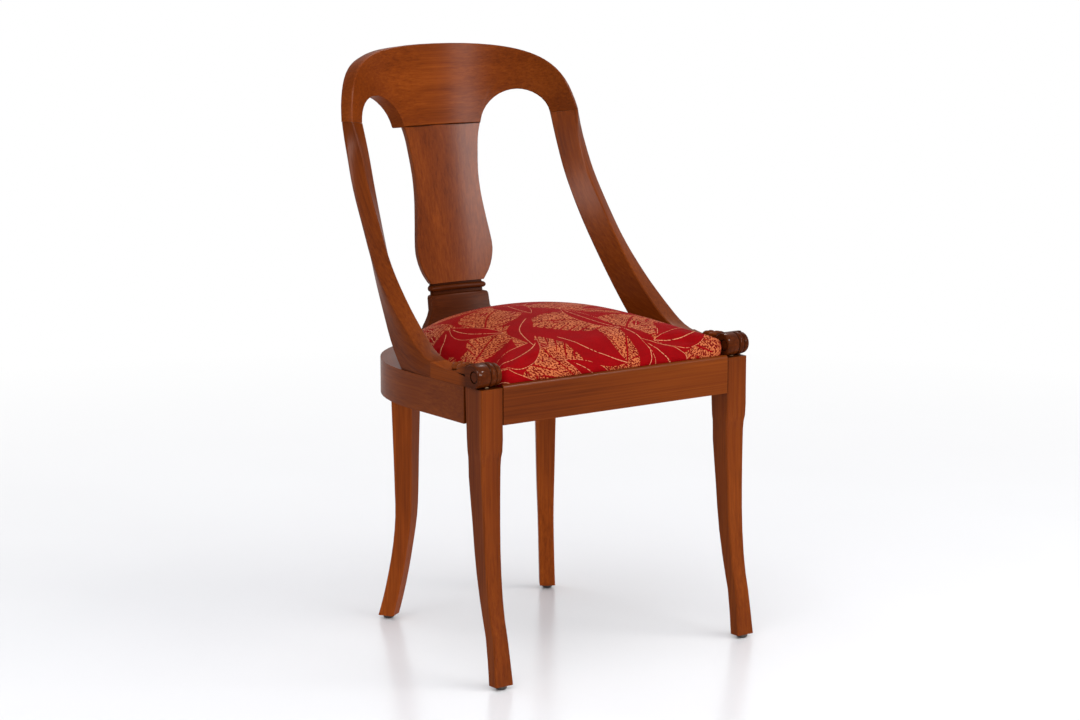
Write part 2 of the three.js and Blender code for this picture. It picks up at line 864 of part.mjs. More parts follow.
function shoeGeometry() {
  const beadMiddle = splatFoot - seatGap - beadHalfHeight - grooveHeight;
  const shoeTop = beadMiddle - beadHalfHeight - lowGrooveHeight;
  const neckHalfWidth = shoeTopHalfWidth - beadProud - grooveDepth;
  const rings = [shoeRing(splatFoot - seatGap, neckHalfWidth, -grooveDepth)];
  for (let i = 0; i <= beadSteps; i += 1) {
    const angle = Math.PI * (1 / 2 - i / beadSteps);
    const proud = mix(-grooveDepth, beadProud, Math.cos(angle));
    rings.push(shoeRing(beadMiddle + beadHalfHeight * Math.sin(angle), neckHalfWidth, proud));
  }
  rings.push(shoeRing(shoeTop + splatEdge, neckHalfWidth, -grooveDepth));
  for (const [heightShare, flare, depthShare] of shoeShares) {
    const height = mix(sideRailTop + seatGap, shoeTop, heightShare);
    const halfWidth = mix(shoeTopHalfWidth, shoeBaseHalfWidth, flare);
    const forward = (shoeBaseDepth - shoeTopDepth) * depthShare;
    rings.push(shoeRing(height, halfWidth - forward, forward));
  }
  return loftRings(rings);
}

// Scroll block: a strip runs forward from the stile, rises and rolls over an eye above the front leg.
// Both scrolls have their plain band on the left, so their volutes aren't mirrored.
const scrollMiddleDepth = scrollRadius - scrollProud;
const scrollMiddleHeight = sideRailTop + seatGap + scrollRadius;
const scrollTop = scrollMiddleHeight + scrollRadius;
const scrollOuter = seatHalfWidth + scrollOverhang;
const scrollInner = scrollOuter - scrollWidth;
const voluteSides = 26;
const stripSteps = 14;
const lobeSides = 8;

function voluteGeometry(side) {
  const profile = voluteShares.map(([across, out]) => {
    return new THREE.Vector2(out * scrollRadius, (across - 1 / 2) * scrollWidth);
  });
  profile.unshift(new THREE.Vector2(0, -scrollWidth / 2));
  profile.push(new THREE.Vector2(0, scrollWidth / 2));
  const body = new THREE.LatheGeometry(profile, voluteSides).rotateZ((-side * Math.PI) / 2);
  return body.translate((scrollInner + scrollOuter) / 2, scrollMiddleDepth, scrollMiddleHeight);
}

// Cutters for the two ends: a sunk disc, and a deeper groove round the eye
function eyeCutters() {
  const rim = eyeRadius + voluteGroove;
  const disc = new THREE.Shape().absarc(0, 0, rim, 0, 2 * Math.PI, false);
  const groove = new THREE.Shape().absarc(0, 0, rim, 0, 2 * Math.PI, false);
  groove.holes.push(new THREE.Path().absarc(0, 0, eyeRadius, 0, 2 * Math.PI, true));
  const cutters = [];
  for (const [shape, depth] of [[disc, eyeSink], [groove, voluteRelief]]) {
    const ends = [scrollInner - cutOverrun, scrollOuter - depth];
    for (const left of ends) cutters.push(acrossPrism(shape, left, left + cutOverrun + depth, roundSides));
  }
  const depth = scrollMiddleDepth - eyeForward;
  return cutters.map((cutter) => cutter.translate(0, depth, scrollMiddleHeight));
}

// The side of the block is sunk in a wedge under the rising strip.
function notchCutters() {
  const start = scrollMiddleDepth + scrollRadius - notchHeight;
  const height = scrollMiddleHeight;
  const wedge = new THREE.Shape([
    new THREE.Vector2(start, height - notchHeight),
    new THREE.Vector2(start + notchLength, height),
    new THREE.Vector2(start, height),
  ]);
  const ends = [railInner - cutOverrun, seatHalfWidth - voluteRelief];
  return ends.map((left) => acrossPrism(wedge, left, left + cutOverrun + voluteRelief, 1));
}

function stripGeometry() {
  const bottom = sideRailTop + seatGap;
  const end = stileJointDepth - seatGap;
  const points = stripShares.map(([back, up]) => {
    return new THREE.Vector2(mix(scrollMiddleDepth, end, back), mix(sideRailTop, scrollTop, up));
  });
  points.push(new THREE.Vector2(end, stileHeightAt(stileJointDepth)));
  const top = new THREE.SplineCurve(points).getPoints(stripSteps);
  const foot = [new THREE.Vector2(end, bottom), new THREE.Vector2(scrollMiddleDepth, bottom)];
  return acrossPrism(new THREE.Shape([...top, ...foot]), railInner, seatHalfWidth, 1);
}

function leafLobes() {
  const height = mix(sideRailTop, scrollTop, stripShares[stripShares.length - 1][1]) + leafRaise;
  return leafLobeShares.map(([acrossShare, backShare, sizeShare]) => {
    const lobe = new THREE.SphereGeometry(1, lobeSides, lobeSides);
    lobe.scale(leafWidth * sizeShare, leafLength * sizeShare, leafHeight * sizeShare);
    const x = mix(railInner, seatHalfWidth, acrossShare);
    return lobe.translate(x, scrollMiddleDepth + leafPlace + leafLength * backShare, height);
  });
}

function scrollBlockGeometry(side) {
  const strip = combine(stripGeometry(), leafLobes(), notchCutters());
  return combine(voluteGeometry(side), [strip], eyeCutters());
}

// Drop-in seat: its plan follows the frame, and it is narrower between the legs and volutes
function halfSeatPlan() {
  const front = frontRailLip + seatGap;
  const narrow = legInner - seatLegClearance;
  const wide = railInner - seatClearance;
  const notch = frontLegDepth + seatClearance;
  const straight = narrow - seatCornerRadius;
  const corner = new THREE.EllipseCurve(
    straight,
    front + seatCornerRadius,
    seatCornerRadius,
    seatCornerRadius,
    -Math.PI / 2,
    0,
  );
  const points = [];
  for (let i = 0; i < seatFrontSteps; i += 1) {
    points.push(new THREE.Vector2((straight * i) / seatFrontSteps, front));
  }
  points.push(...corner.getPoints(seatCornerSteps));
  points.push(new THREE.Vector2(narrow, notch));
  points.push(new THREE.Vector2(wide, notch + legNotchRun));
  points.push(new THREE.Vector2(wide, (notch + legNotchRun + hoopStart) / 2));
  points.push(...hoopArc(0, Math.PI / 2, railThickness + seatClearance, seatHoopSteps));
  points[points.length - 1].x = 0;
  return points;
}

const seatMiddle = new THREE.Vector2(0, seatDepth * seatMiddleShare);
const seatReach = new THREE.Vector2(railInner - seatClearance, seatMiddle.y - frontRailLip - seatGap);
const seatPlan = [...halfSeatPlan(), ...flipped(halfSeatPlan()).slice(1, -1)];

// A ring of the seat: share 1 is the rim and 0 the middle, and inset draws it in from the skin.
// The rings lose the corners of the plan towards the middle of the dome.
function seatRing(share, inset, heightAt) {
  return seatPlan.map((point) => {
    const arm = point.clone().sub(seatMiddle);
    const across = arm.x / seatReach.x;
    const along = arm.y / seatReach.y;
    const roundLength = arm.length() / Math.hypot(across, along);
    const length = mix(roundLength, arm.length(), share * share) * share - inset;
    const place = arm.clone().setLength(length).add(seatMiddle);
    return new THREE.Vector3(place.x, place.y, heightAt(arm));
  });
}

function flatRing(inset, height) {
  return seatRing(1, inset, () => height);
}

// The front of the seat has a taller wall than its sides and back.
function shoulderHeight(arm) {
  const forward = Math.max(-arm.y / seatMiddle.y, 0);
  return frontRailTop + mix(seatSideWall, seatFrontWall, forward ** seatCrownPowerShare);
}

function domeRing(share, inset) {
  const fall = Math.pow(share, seatCrownPowerShare);
  return seatRing(share, inset, (arm) => mix(seatTop, shoulderHeight(arm), fall) - inset);
}

function wallRing(heightShare, inset) {
  return seatRing(1, inset, (arm) => mix(frontRailTop, shoulderHeight(arm), heightShare) - inset);
}

function seatCoverGeometry() {
  const rim = ledgeHeight + seatGap;
  const outside = [wallRing(coverWallShare, 0), wallRing(0, 0), flatRing(splatEdge / 2, rim)];
  const inside = [
    flatRing(coverThickness, rim),
    wallRing(0, coverThickness),
    wallRing(coverWallShare, coverThickness),
  ];
  const outerDome = outerDomeShares.map((share) => domeRing(share, 0));
  const innerDome = innerDomeShares.map((share) => domeRing(share, coverThickness)).reverse();
  return loftRings([...outerDome, ...outside, ...inside, ...innerDome]);
}

const dustCoverBottom = ledgeHeight + seatGap;
const boardBottom = dustCoverBottom + dustCoverThickness + seatGap;
const boardTop = boardBottom + boardThickness;
const foamInset = coverThickness + coverClearance;

function seatFoamGeometry() {
  const dome = innerDomeShares.map((share) => domeRing(share, foamInset)).reverse();
  const walls = [
    flatRing(foamInset, boardTop + seatGap),
    wallRing(0, foamInset),
    wallRing(coverWallShare, foamInset),
  ];
  return loftRings([...walls, ...dome]);
}

function seatSlab(inset, bottom, thickness) {
  return loftRings([flatRing(inset, bottom), flatRing(inset, bottom + thickness)]);
}

// Corner blocks
const blockTop = ledgeHeight;
const blockMiddle = blockTop - blockHeight / 2;
const frontBlockStart = railThickness + seatGap;
const frontBlockInner = legInner - seatGap;
const frontBlockOuter = railInner - seatGap;

function frontBlockGeometry() {
  const rearStart = frontLegDepth + seatGap;
  const rearEnd = frontBlockStart + blockArm + frontBlockOuter - frontBlockInner;
  const outline = [
    new THREE.Vector2(frontBlockInner - blockArm, frontBlockStart),
    new THREE.Vector2(frontBlockInner, frontBlockStart),
    new THREE.Vector2(frontBlockInner, rearStart),
    new THREE.Vector2(frontBlockOuter, rearStart),
    new THREE.Vector2(frontBlockOuter, rearEnd),
  ];
  return prism(outline, blockTop - blockHeight, blockTop - seatGap);
}

const backBlockOuterInset = railThickness + seatGap;
const backBlockInnerInset = backBlockOuterInset + backBlockDepth;

const backBlockEnds = [backLegTurn - backBlockSpan / 2, backLegTurn + backBlockSpan / 2];

function backBlockGeometry() {
  const [from, to] = backBlockEnds;
  const outer = hoopArc(from, to, backBlockOuterInset, blockSteps);
  const inner = [hoopPoint(to, backBlockInnerInset), hoopPoint(from, backBlockInnerInset)];
  return prism([...outer, ...inner], blockTop - blockHeight, blockTop - seatGap);
}

// Headed fastener: its head lies outside the seat, and its shank runs inwards
const fasteners = [];

function placeFastener(name, seat, direction, length, sizes, holders) {
  const { radius, headRadius, headHeight } = sizes;
  const headStart = seat.clone().addScaledVector(direction, -headHeight - seatGap);
  const head = rod(headStart, direction, headHeight, headRadius);
  const shankStart = seat.clone().addScaledVector(direction, -headHeight / 2 - seatGap);
  const shank = rod(shankStart, direction, length + headHeight / 2, radius);
  fasteners.push({ name, geometry: head, shank });
  const holeStart = seat.clone().addScaledVector(direction, -headHeight);
  drill(holders, rod(holeStart, direction, length + headHeight + holeClearance, radius + holeClearance));
}

function onSide(side, x, y, z) {
  return new THREE.Vector3(side * x, y, z);
}

const boltSizes = { radius: boltRadius, headRadius: boltHeadRadius, headHeight: boltHeadHeight };
const seatScrewSizes = {
  radius: seatScrewRadius,
  headRadius: seatScrewHeadRadius,
  headHeight: seatScrewHeadHeight,
};

// Dowels of the seat frame
function placeFrameDowels(side, word) {
  const sideways = onSide(side, 1, 0, 0);
  frontDowelShares.forEach((share, i) => {
    const height = mix(railUnderside, ledgeHeight, share);
    const middle = onSide(side, legInner, railThickness / 2, height);
    placeDowel(`front_dowel_${word}_${i + 1}`, middle, sideways, ["front_rail", `front_leg_${word}`]);
  });
  sideDowelShares.forEach((share, i) => {
    const height = mix(railUnderside, sideRailTop, share);
    const middle = onSide(side, seatHalfWidth - railThickness / 2, frontLegDepth, height);
    placeDowel(`side_dowel_${word}_${i + 1}`, middle, depthAxis, [`front_leg_${word}`, `side_rail_${word}`]);
  });
  backDowelTurns.forEach((turn, i) => {
    const place = hoopPoint(backLegTurn + turn, backDowelInset);
    const middle = onSide(side, place.x, place.y, railUnderside);
    const rail = i ? "back_rail" : `side_rail_${word}`;
    placeDowel(`back_leg_dowel_${word}_${i + 1}`, middle, heightAxis, [`back_leg_${word}`, rail]);
  });
}

// Dowels of the back and of the scroll blocks
function placeBackDowels(side, word) {
  const thin = [thinDowelLength, thinDowelRadius];
  const top = stileStation(0);
  const joint = top.front.clone().lerp(top.back, 0.5).addScaledVector(top.outward, top.thickness / 2);
  const middle = onSide(side, joint.x, joint.y, joint.z + crestJointSlant / 2);
  placeDowel(`crest_dowel_${word}`, middle, heightAxis, ["crest_rail", `stile_${word}`], ...thin);
  stileDowelShares.forEach((share, i) => {
    const depth = mix(stileJointDepth, hoopStart + stileInset, share);
    const place = onSide(side, seatHalfWidth - railThickness / 2, depth, sideRailTop);
    placeDowel(`stile_dowel_${word}_${i + 1}`, place, heightAxis, [`stile_${word}`, `side_rail_${word}`]);
  });
  const scroll = onSide(side, legMiddle, scrollMiddleDepth, sideRailTop);
  placeDowel(`scroll_dowel_${word}`, scroll, heightAxis, [`scroll_block_${word}`, `front_leg_${word}`]);
  const shoeDepth = barrelPoint(0, sideRailTop).y + shoeTopDepth / 2;
  const shoe = onSide(side, shoeTopHalfWidth / 2, shoeDepth, sideRailTop);
  placeDowel(`shoe_dowel_${word}`, shoe, heightAxis, ["splat_shoe", "back_rail"], ...thin);
}

// Bolts through the corner blocks
function placeBlockBolts(side, word) {
  const half = Math.SQRT1_2;
  const corner = new THREE.Vector2(legInner, frontLegDepth);
  const face = new THREE.Vector2(frontBlockInner - blockArm, frontBlockStart);
  const run = corner.clone().sub(face).dot(new THREE.Vector2(half, -half));
  const seat = onSide(side, corner.x - run * half, corner.y + run * half, blockMiddle);
  const inwards = onSide(side, half, -half, 0);
  const holders = [`corner_block_front_${word}`, `front_leg_${word}`];
  placeFastener(`block_bolt_front_${word}`, seat, inwards, run + boltBite, boltSizes, holders);
  const [first, last] = backBlockEnds.map((turn) => hoopPoint(turn, backBlockInnerInset));
  const normal = last.clone().sub(first).normalize();
  const direction = onSide(side, normal.y, -normal.x, 0);
  backBoltShares.forEach((share, i) => {
    const place = first.clone().lerp(last, share);
    const start = onSide(side, place.x, place.y, blockMiddle);
    const rail = i ? "back_rail" : `side_rail_${word}`;
    const held = [`corner_block_back_${word}`, rail];
    const length = backBlockDepth + boltBite;
    placeFastener(`block_bolt_back_${word}_${i + 1}`, start, direction, length, boltSizes, held);
  });
}

// Screws up through the blocks into the seat board
function placeSeatScrews(side, word) {
  const length = blockHeight + boardBottom - blockTop + seatScrewBite;
  const low = blockTop - blockHeight;
  const frontX = frontBlockInner - blockArm * seatScrewShare;
  const frontPlace = onSide(side, frontX, frontBlockStart + blockArm * blockScrewShare, low);
  const back = hoopPoint(backLegTurn, backBlockOuterInset + backBlockDepth / 2);
  const places = { front: frontPlace, back: onSide(side, back.x, back.y, low) };
  for (const [end, place] of Object.entries(places)) {
    const holders = [`corner_block_${end}_${word}`, "dust_cover", "seat_board"];
    placeFastener(`seat_screw_${end}_${word}`, place, heightAxis, length, seatScrewSizes, holders);
  }
}

onBothSides((side, word) => {
  placeFrameDowels(side, word);
  placeBackDowels(side, word);
  placeBlockBolts(side, word);
  placeSeatScrews(side, word);
  const footPlace = new THREE.Vector2(legMiddle, (frontFootDepth - 2 * frontLegSweep) / 2);
  drill([`front_leg_${word}`], glideHole(onSide(side, footPlace.x, footPlace.y, 0)));
  const backFoot = backLegPlace(1);
  drill([`back_leg_${word}`], glideHole(onSide(side, backFoot.x, backFoot.y, 0)));
  const ends = { front: footPlace, back: backFoot };
  for (const [end, place] of Object.entries(ends)) {
    const geometry = glideGeometry().translate(side * place.x, place.y, 0);
    fasteners.push({ name: `glide_${end}_${word}`, geometry });
  }
});

// Mortises for the splat's tenons, and the bed for its top in the tongue of the crest rail
const tongueLow = tongueFoot - tenonLength;
const tongueHigh = tongueFoot + tenonLength;
const footLow = splatFoot - tenonLength;
const footHigh = splatFoot + tenonLength;
const tongueBed = splatThickness + seatGap;
drill(["crest_rail"], tenonGeometry(crestTenonHalfWidth, tongueLow, tongueHigh, holeClearance));
drill(["crest_rail"], barrelSlab(tongueHalfWidth + seatGap, tongueLow, tongueFoot, -cutOverrun, tongueBed));
drill(["splat_shoe"], tenonGeometry(shoeTenonHalfWidth, footLow, footHigh, holeClearance));
onBothSides((side, word) => {
  for (const cutter of stileFootCutters()) drill([`stile_${word}`], side < 0 ? mirrored(cutter) : cutter);
});

const splatTenons = [
  tenonGeometry(crestTenonHalfWidth, tongueLow, tongueHigh - holeClearance, 0),
  tenonGeometry(shoeTenonHalfWidth, footLow + holeClearance, footHigh, 0),
];

// Assembly
addPiece("crest_rail", crestGeometry(), paint.showWood());
addPiece("splat", splatGeometry(), paint.showWood(), splatTenons);
addPiece("splat_shoe", shoeGeometry(), paint.showWood());
addPiece("front_rail", frontRailGeometry(), paint.frameWood());
addPiece("back_rail", backRailGeometry(), paint.frameWood());
addPiece("seat_board", seatSlab(foamInset, boardBottom, boardThickness), paint.plywood());
addPiece("seat_foam", seatFoamGeometry(), paint.foam());
addPiece("seat_cover", seatCoverGeometry(), paint.damask());
const dustCover = seatSlab(foamInset + dustCoverInset, dustCoverBottom, dustCoverThickness);
addPiece("dust_cover", dustCover, paint.cambric());

const pairs = [
  ["stile", stileGeometry(), paint.showWood],
  ["side_rail", sideRailGeometry(), paint.frameWood],
  ["front_leg", frontLegGeometry(), paint.frameWood],
  ["back_leg", backLegGeometry(), paint.frameWood],
  ["corner_block_front", frontBlockGeometry(), paint.rawWood],
  ["corner_block_back", backBlockGeometry(), paint.rawWood],
];
onBothSides((side, word) => {
  for (const [name, geometry, material] of pairs) {
    addPiece(`${name}_${word}`, side < 0 ? mirrored(geometry) : geometry, material());
  }
  const scroll = scrollBlockGeometry(side);
  addPiece(`scroll_block_${word}`, side < 0 ? mirrored(scroll) : scroll, paint.carvedWood());
});

for (const { name, geometry } of dowels) addPiece(name, geometry, paint.rawWood());
for (const { name, geometry, shank } of fasteners) {
  const material = name.startsWith("glide") ? paint.glide() : paint.steel();
  addPiece(name, geometry, material, shank ? [shank] : []);
}

// The origin lies under the middle of the whole chair's box.
const box = new THREE.Box3().setFromObject(chair);
chair.position.y = -(box.min.y + box.max.y) / 2;
chair.updateMatrixWorld(true);

export default chair;
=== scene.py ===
import json
import math

import bmesh
import bpy
from mathutils import Matrix, Vector
from mathutils.bvhtree import BVHTree
from mathutils.geometry import barycentric_transform

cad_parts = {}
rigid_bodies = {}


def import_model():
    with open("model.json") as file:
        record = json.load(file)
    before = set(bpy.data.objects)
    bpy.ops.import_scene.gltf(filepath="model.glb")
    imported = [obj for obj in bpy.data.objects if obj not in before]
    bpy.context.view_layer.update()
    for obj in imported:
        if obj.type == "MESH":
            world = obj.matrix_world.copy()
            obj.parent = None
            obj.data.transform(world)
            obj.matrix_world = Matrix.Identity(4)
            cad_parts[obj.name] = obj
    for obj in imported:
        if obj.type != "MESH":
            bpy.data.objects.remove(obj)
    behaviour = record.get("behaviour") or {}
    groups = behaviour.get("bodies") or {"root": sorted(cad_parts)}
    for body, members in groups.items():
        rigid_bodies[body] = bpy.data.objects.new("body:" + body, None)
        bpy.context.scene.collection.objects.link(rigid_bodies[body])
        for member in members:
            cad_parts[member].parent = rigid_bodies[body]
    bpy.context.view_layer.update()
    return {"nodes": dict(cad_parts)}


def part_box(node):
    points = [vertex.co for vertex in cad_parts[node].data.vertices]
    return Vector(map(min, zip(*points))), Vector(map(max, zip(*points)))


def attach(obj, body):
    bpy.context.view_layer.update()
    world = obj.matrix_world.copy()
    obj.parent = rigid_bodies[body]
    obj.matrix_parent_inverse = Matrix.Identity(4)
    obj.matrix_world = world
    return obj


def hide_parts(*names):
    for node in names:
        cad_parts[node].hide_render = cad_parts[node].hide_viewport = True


# The factory scene's own cube, lamp and camera would count as pieces.
for leftover in list(bpy.data.objects):
    bpy.data.objects.remove(leftover)

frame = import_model()
nodes = frame["nodes"]

# Lengths are in metres, or in millimetres where they are drawn or named so. A depth is counted
# back from the front face of the front rail.
MM = 0.001
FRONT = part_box("front_rail")[0].y
FRONT_RAIL_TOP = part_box("front_rail")[1].z
SEAT_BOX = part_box("seat_cover")
BOARD_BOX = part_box("seat_board")
WHITE = (1.0, 1.0, 1.0)


def place(x, depth, height):
    """A point of the shared frame from the drawing's millimetres."""
    return Vector((x * MM, FRONT + depth * MM, height * MM))


# Shader graphs
class Graph:
    """A material, world or node group, with short ways to add nodes to it."""

    def __init__(self, tree):
        self.tree = tree

    def node(self, kind, **settings):
        made = self.tree.nodes.new(kind)
        for name, value in settings.items():
            setattr(made, name, value)
        return made

    def feed(self, socket, value):
        """Links a socket to another one, or sets its own value."""
        if isinstance(value, bpy.types.NodeSocket):
            self.tree.links.new(value, socket)
        else:
            socket.default_value = value

    def fill(self, node, values):
        for name, value in values.items():
            self.feed(node.inputs[name], value)

    def math(self, operation, *values):
        made = self.node("ShaderNodeMath", operation=operation)
        for socket, value in zip(made.inputs, values):
            self.feed(socket, value)
        return made.outputs[0]

    def times(self, product, *factors):
        for factor in factors:
            product = self.math("MULTIPLY", product, factor)
        return product

    def toward(self, start, finish, share):
        """The value a share of the way from one value to another."""
        way = self.math("SUBTRACT", finish, start)
        return self.math("ADD", start, self.math("MULTIPLY", share, way))

    def vector(self, operation, *values):
        made = self.node("ShaderNodeVectorMath", operation=operation)
        for socket, value in zip(made.inputs, values):
            self.feed(socket, value)
        return made.outputs["Value" if operation in {"LENGTH", "DISTANCE"} else "Vector"]

    def turned(self, vector, angle):
        """A vector turned about the Z axis."""
        made = self.node("ShaderNodeVectorRotate", rotation_type="Z_AXIS")
        self.fill(made, {"Vector": vector, "Angle": angle})
        return made.outputs[0]

    def combine(self, x, y, z):
        made = self.node("ShaderNodeCombineXYZ")
        for socket, value in zip(made.inputs, (x, y, z)):
            self.feed(socket, value)
        return made.outputs[0]

    def separate(self, vector):
        made = self.node("ShaderNodeSeparateXYZ")
        self.feed(made.inputs[0], vector)
        return made.outputs

    def noise(self, vector, cells, detail=2.0, roughness=0.5, distortion=0.0):
        """Noise by its cells per metre: one number, or one for each axis."""
        if isinstance(cells, tuple):
            vector = self.vector("MULTIPLY", vector, cells)
            cells = 1.0
        made = self.node("ShaderNodeTexNoise")
        self.fill(made, {
            "Vector": vector,
            "Scale": cells,
            "Detail": detail,
            "Roughness": roughness,
            "Distortion": distortion,
        })
        return made.outputs["Fac"]

    def ramp(self, value, places, colours):
        """Colours by value, each at its place."""
        made = self.node("ShaderNodeValToRGB")
        self.feed(made.inputs[0], value)
        elements = made.color_ramp.elements
        while len(elements) < len(places):
            elements.new(0.5)
        for element, position, colour in zip(elements, places, colours):
            element.position = position
            element.color = (*colour, 1.0)
        return made.outputs[0]

    def span(self, value, low, high, to_low=0.0, to_high=1.0):
        """A value carried from one range to another, and kept inside it."""
        made = self.node("ShaderNodeMapRange", clamp=True)
        for socket, number in zip(made.inputs, (value, low, high, to_low, to_high)):
            self.feed(socket, number)
        return made.outputs[0]

    def blend(self, share, first, second, mode="MIX"):
        made = self.node("ShaderNodeMix", data_type="RGBA", blend_type=mode)
        self.feed(made.inputs[0], share)
        for socket, colour in zip(made.inputs[6:8], (first, second)):
            self.feed(socket, (*colour, 1.0) if isinstance(colour, tuple) else colour)
        return made.outputs[2]

    def shaded(self, colour, share):
        """A colour taken down to a share of itself."""
        return self.blend(1.0, colour, self.combine(share, share, share), "MULTIPLY")

    def bump(self, height, strength, distance, normal=None):
        made = self.node("ShaderNodeBump")
        self.fill(made, {"Strength": strength, "Distance": distance, "Height": height})
        if normal is not None:
            self.feed(made.inputs["Normal"], normal)
        return made.outputs[0]


def new_material(name):
    """An empty material: its graph and its surface shader."""
    material = bpy.data.materials.new(name)
    material.use_nodes = True
    graph = Graph(material.node_tree)
    graph.tree.nodes.clear()
    surface = graph.node("ShaderNodeBsdfPrincipled")
    output = graph.node("ShaderNodeOutputMaterial")
    graph.feed(output.inputs["Surface"], surface.outputs[0])
    return material, graph, surface


def object_place(graph):
    """The shaded spot in the shared frame."""
    return graph.node("ShaderNodeTexCoord").outputs["Object"]


# Wood grain: three ways to lay it, each giving a spot as (across, across, along)
def straight_grain(axis):
    """Grain along one axis of the chair."""

    def lay(graph):
        x, y, z = graph.separate(object_place(graph))
        order = {"x": (y, z, x), "y": (x, z, y), "z": (x, y, z)}[axis]
        return graph.combine(*order)

    return lay


def hoop_grain(centre_depth, radius):
    """Grain that follows the seat frame round. Its lengths are in millimetres."""

    def lay(graph):
        x, y, z = graph.separate(object_place(graph))
        back = graph.math("SUBTRACT", y, FRONT + centre_depth * MM)
        turn = graph.math("ARCTAN2", back, graph.math("ABSOLUTE", x))
        outward = graph.vector("LENGTH", graph.combine(x, back, 0.0))
        return graph.combine(outward, z, graph.times(turn, radius * MM))

    return lay


def sweep_grain(depth, height, radius):
    """Grain that follows a piece bent in the plane of depth and height, in millimetres."""

    def lay(graph):
        x, y, z = graph.separate(object_place(graph))
        back = graph.math("SUBTRACT", y, FRONT + depth * MM)
        up = graph.math("SUBTRACT", z, height * MM)
        turn = graph.math("ARCTAN2", up, back)
        outward = graph.vector("LENGTH", graph.combine(back, up, 0.0))
        return graph.combine(x, outward, graph.times(turn, radius * MM))

    return lay


# Stained wood: each set as its dark, middle and light tone. WOOD and CARVED are stains; the third
# set is painted shade.
WOOD = ((0.092, 0.015, 0.0018), (0.17, 0.0315, 0.003), (0.255, 0.053, 0.0055))
CARVED = ((0.03, 0.0055, 0.0012), (0.084, 0.015, 0.0023), (0.14, 0.0265, 0.0037))
# Painted shade: the shoe's faces turn downwards, and it takes the carved middle and light tones
# to darken them.
PAINTED_SHADE_TONES = (WOOD[0], CARVED[1], CARVED[2])

# Where the three tones lie on the figure, which runs from 0 to 1
TONE_PLACES = (0.29, 0.5, 0.71)
PLAIN_PLACES = (0.27, 0.5, 0.73)
BROAD_SHARE = 0.55
STREAK_SHARE = 0.45

# Cells per metre of each noise in the grain, across, across and along it
BROAD_CELLS = (14.0, 14.0, 2.8)
STREAK_CELLS = (290.0, 290.0, 2.6)
PORE_CELLS = (760.0, 760.0, 8.0)
FLECK_CELLS = (1100.0, 1100.0, 90.0)
SMEAR_CELLS = (9.0, 9.0, 5.0)
SEED_STEP = (1.7, 2.3, 0.9)

# Each carries a range of noise, or of an edge's bend, to one of shade, edge lightening or
# roughness.
PORE_SHADE = (0.32, 0.52, 0.8, 1.0)
FLECK_SHADE = (0.24, 0.34, 0.95, 1.0)
EDGE_LIGHTENING = (0.06, 0.4, 0.0, 0.6)
WOOD_ROUGHNESS = (0.3, 0.7, 0.3, 0.42)

# Painted shade: how open a hollow is, from fully shaded to not at all
PAINTED_SHADE_RANGE = (0.4, 0.9)

# Half the depth over which carved tones turn into plain ones
PLAIN_FADE = 0.009
PORE_SHARE = 0.6
GROOVE_SHARE = 0.4
PORE_BUMP = 0.12
PORE_DEPTH = 0.0006
SPOT_SAMPLES = 4


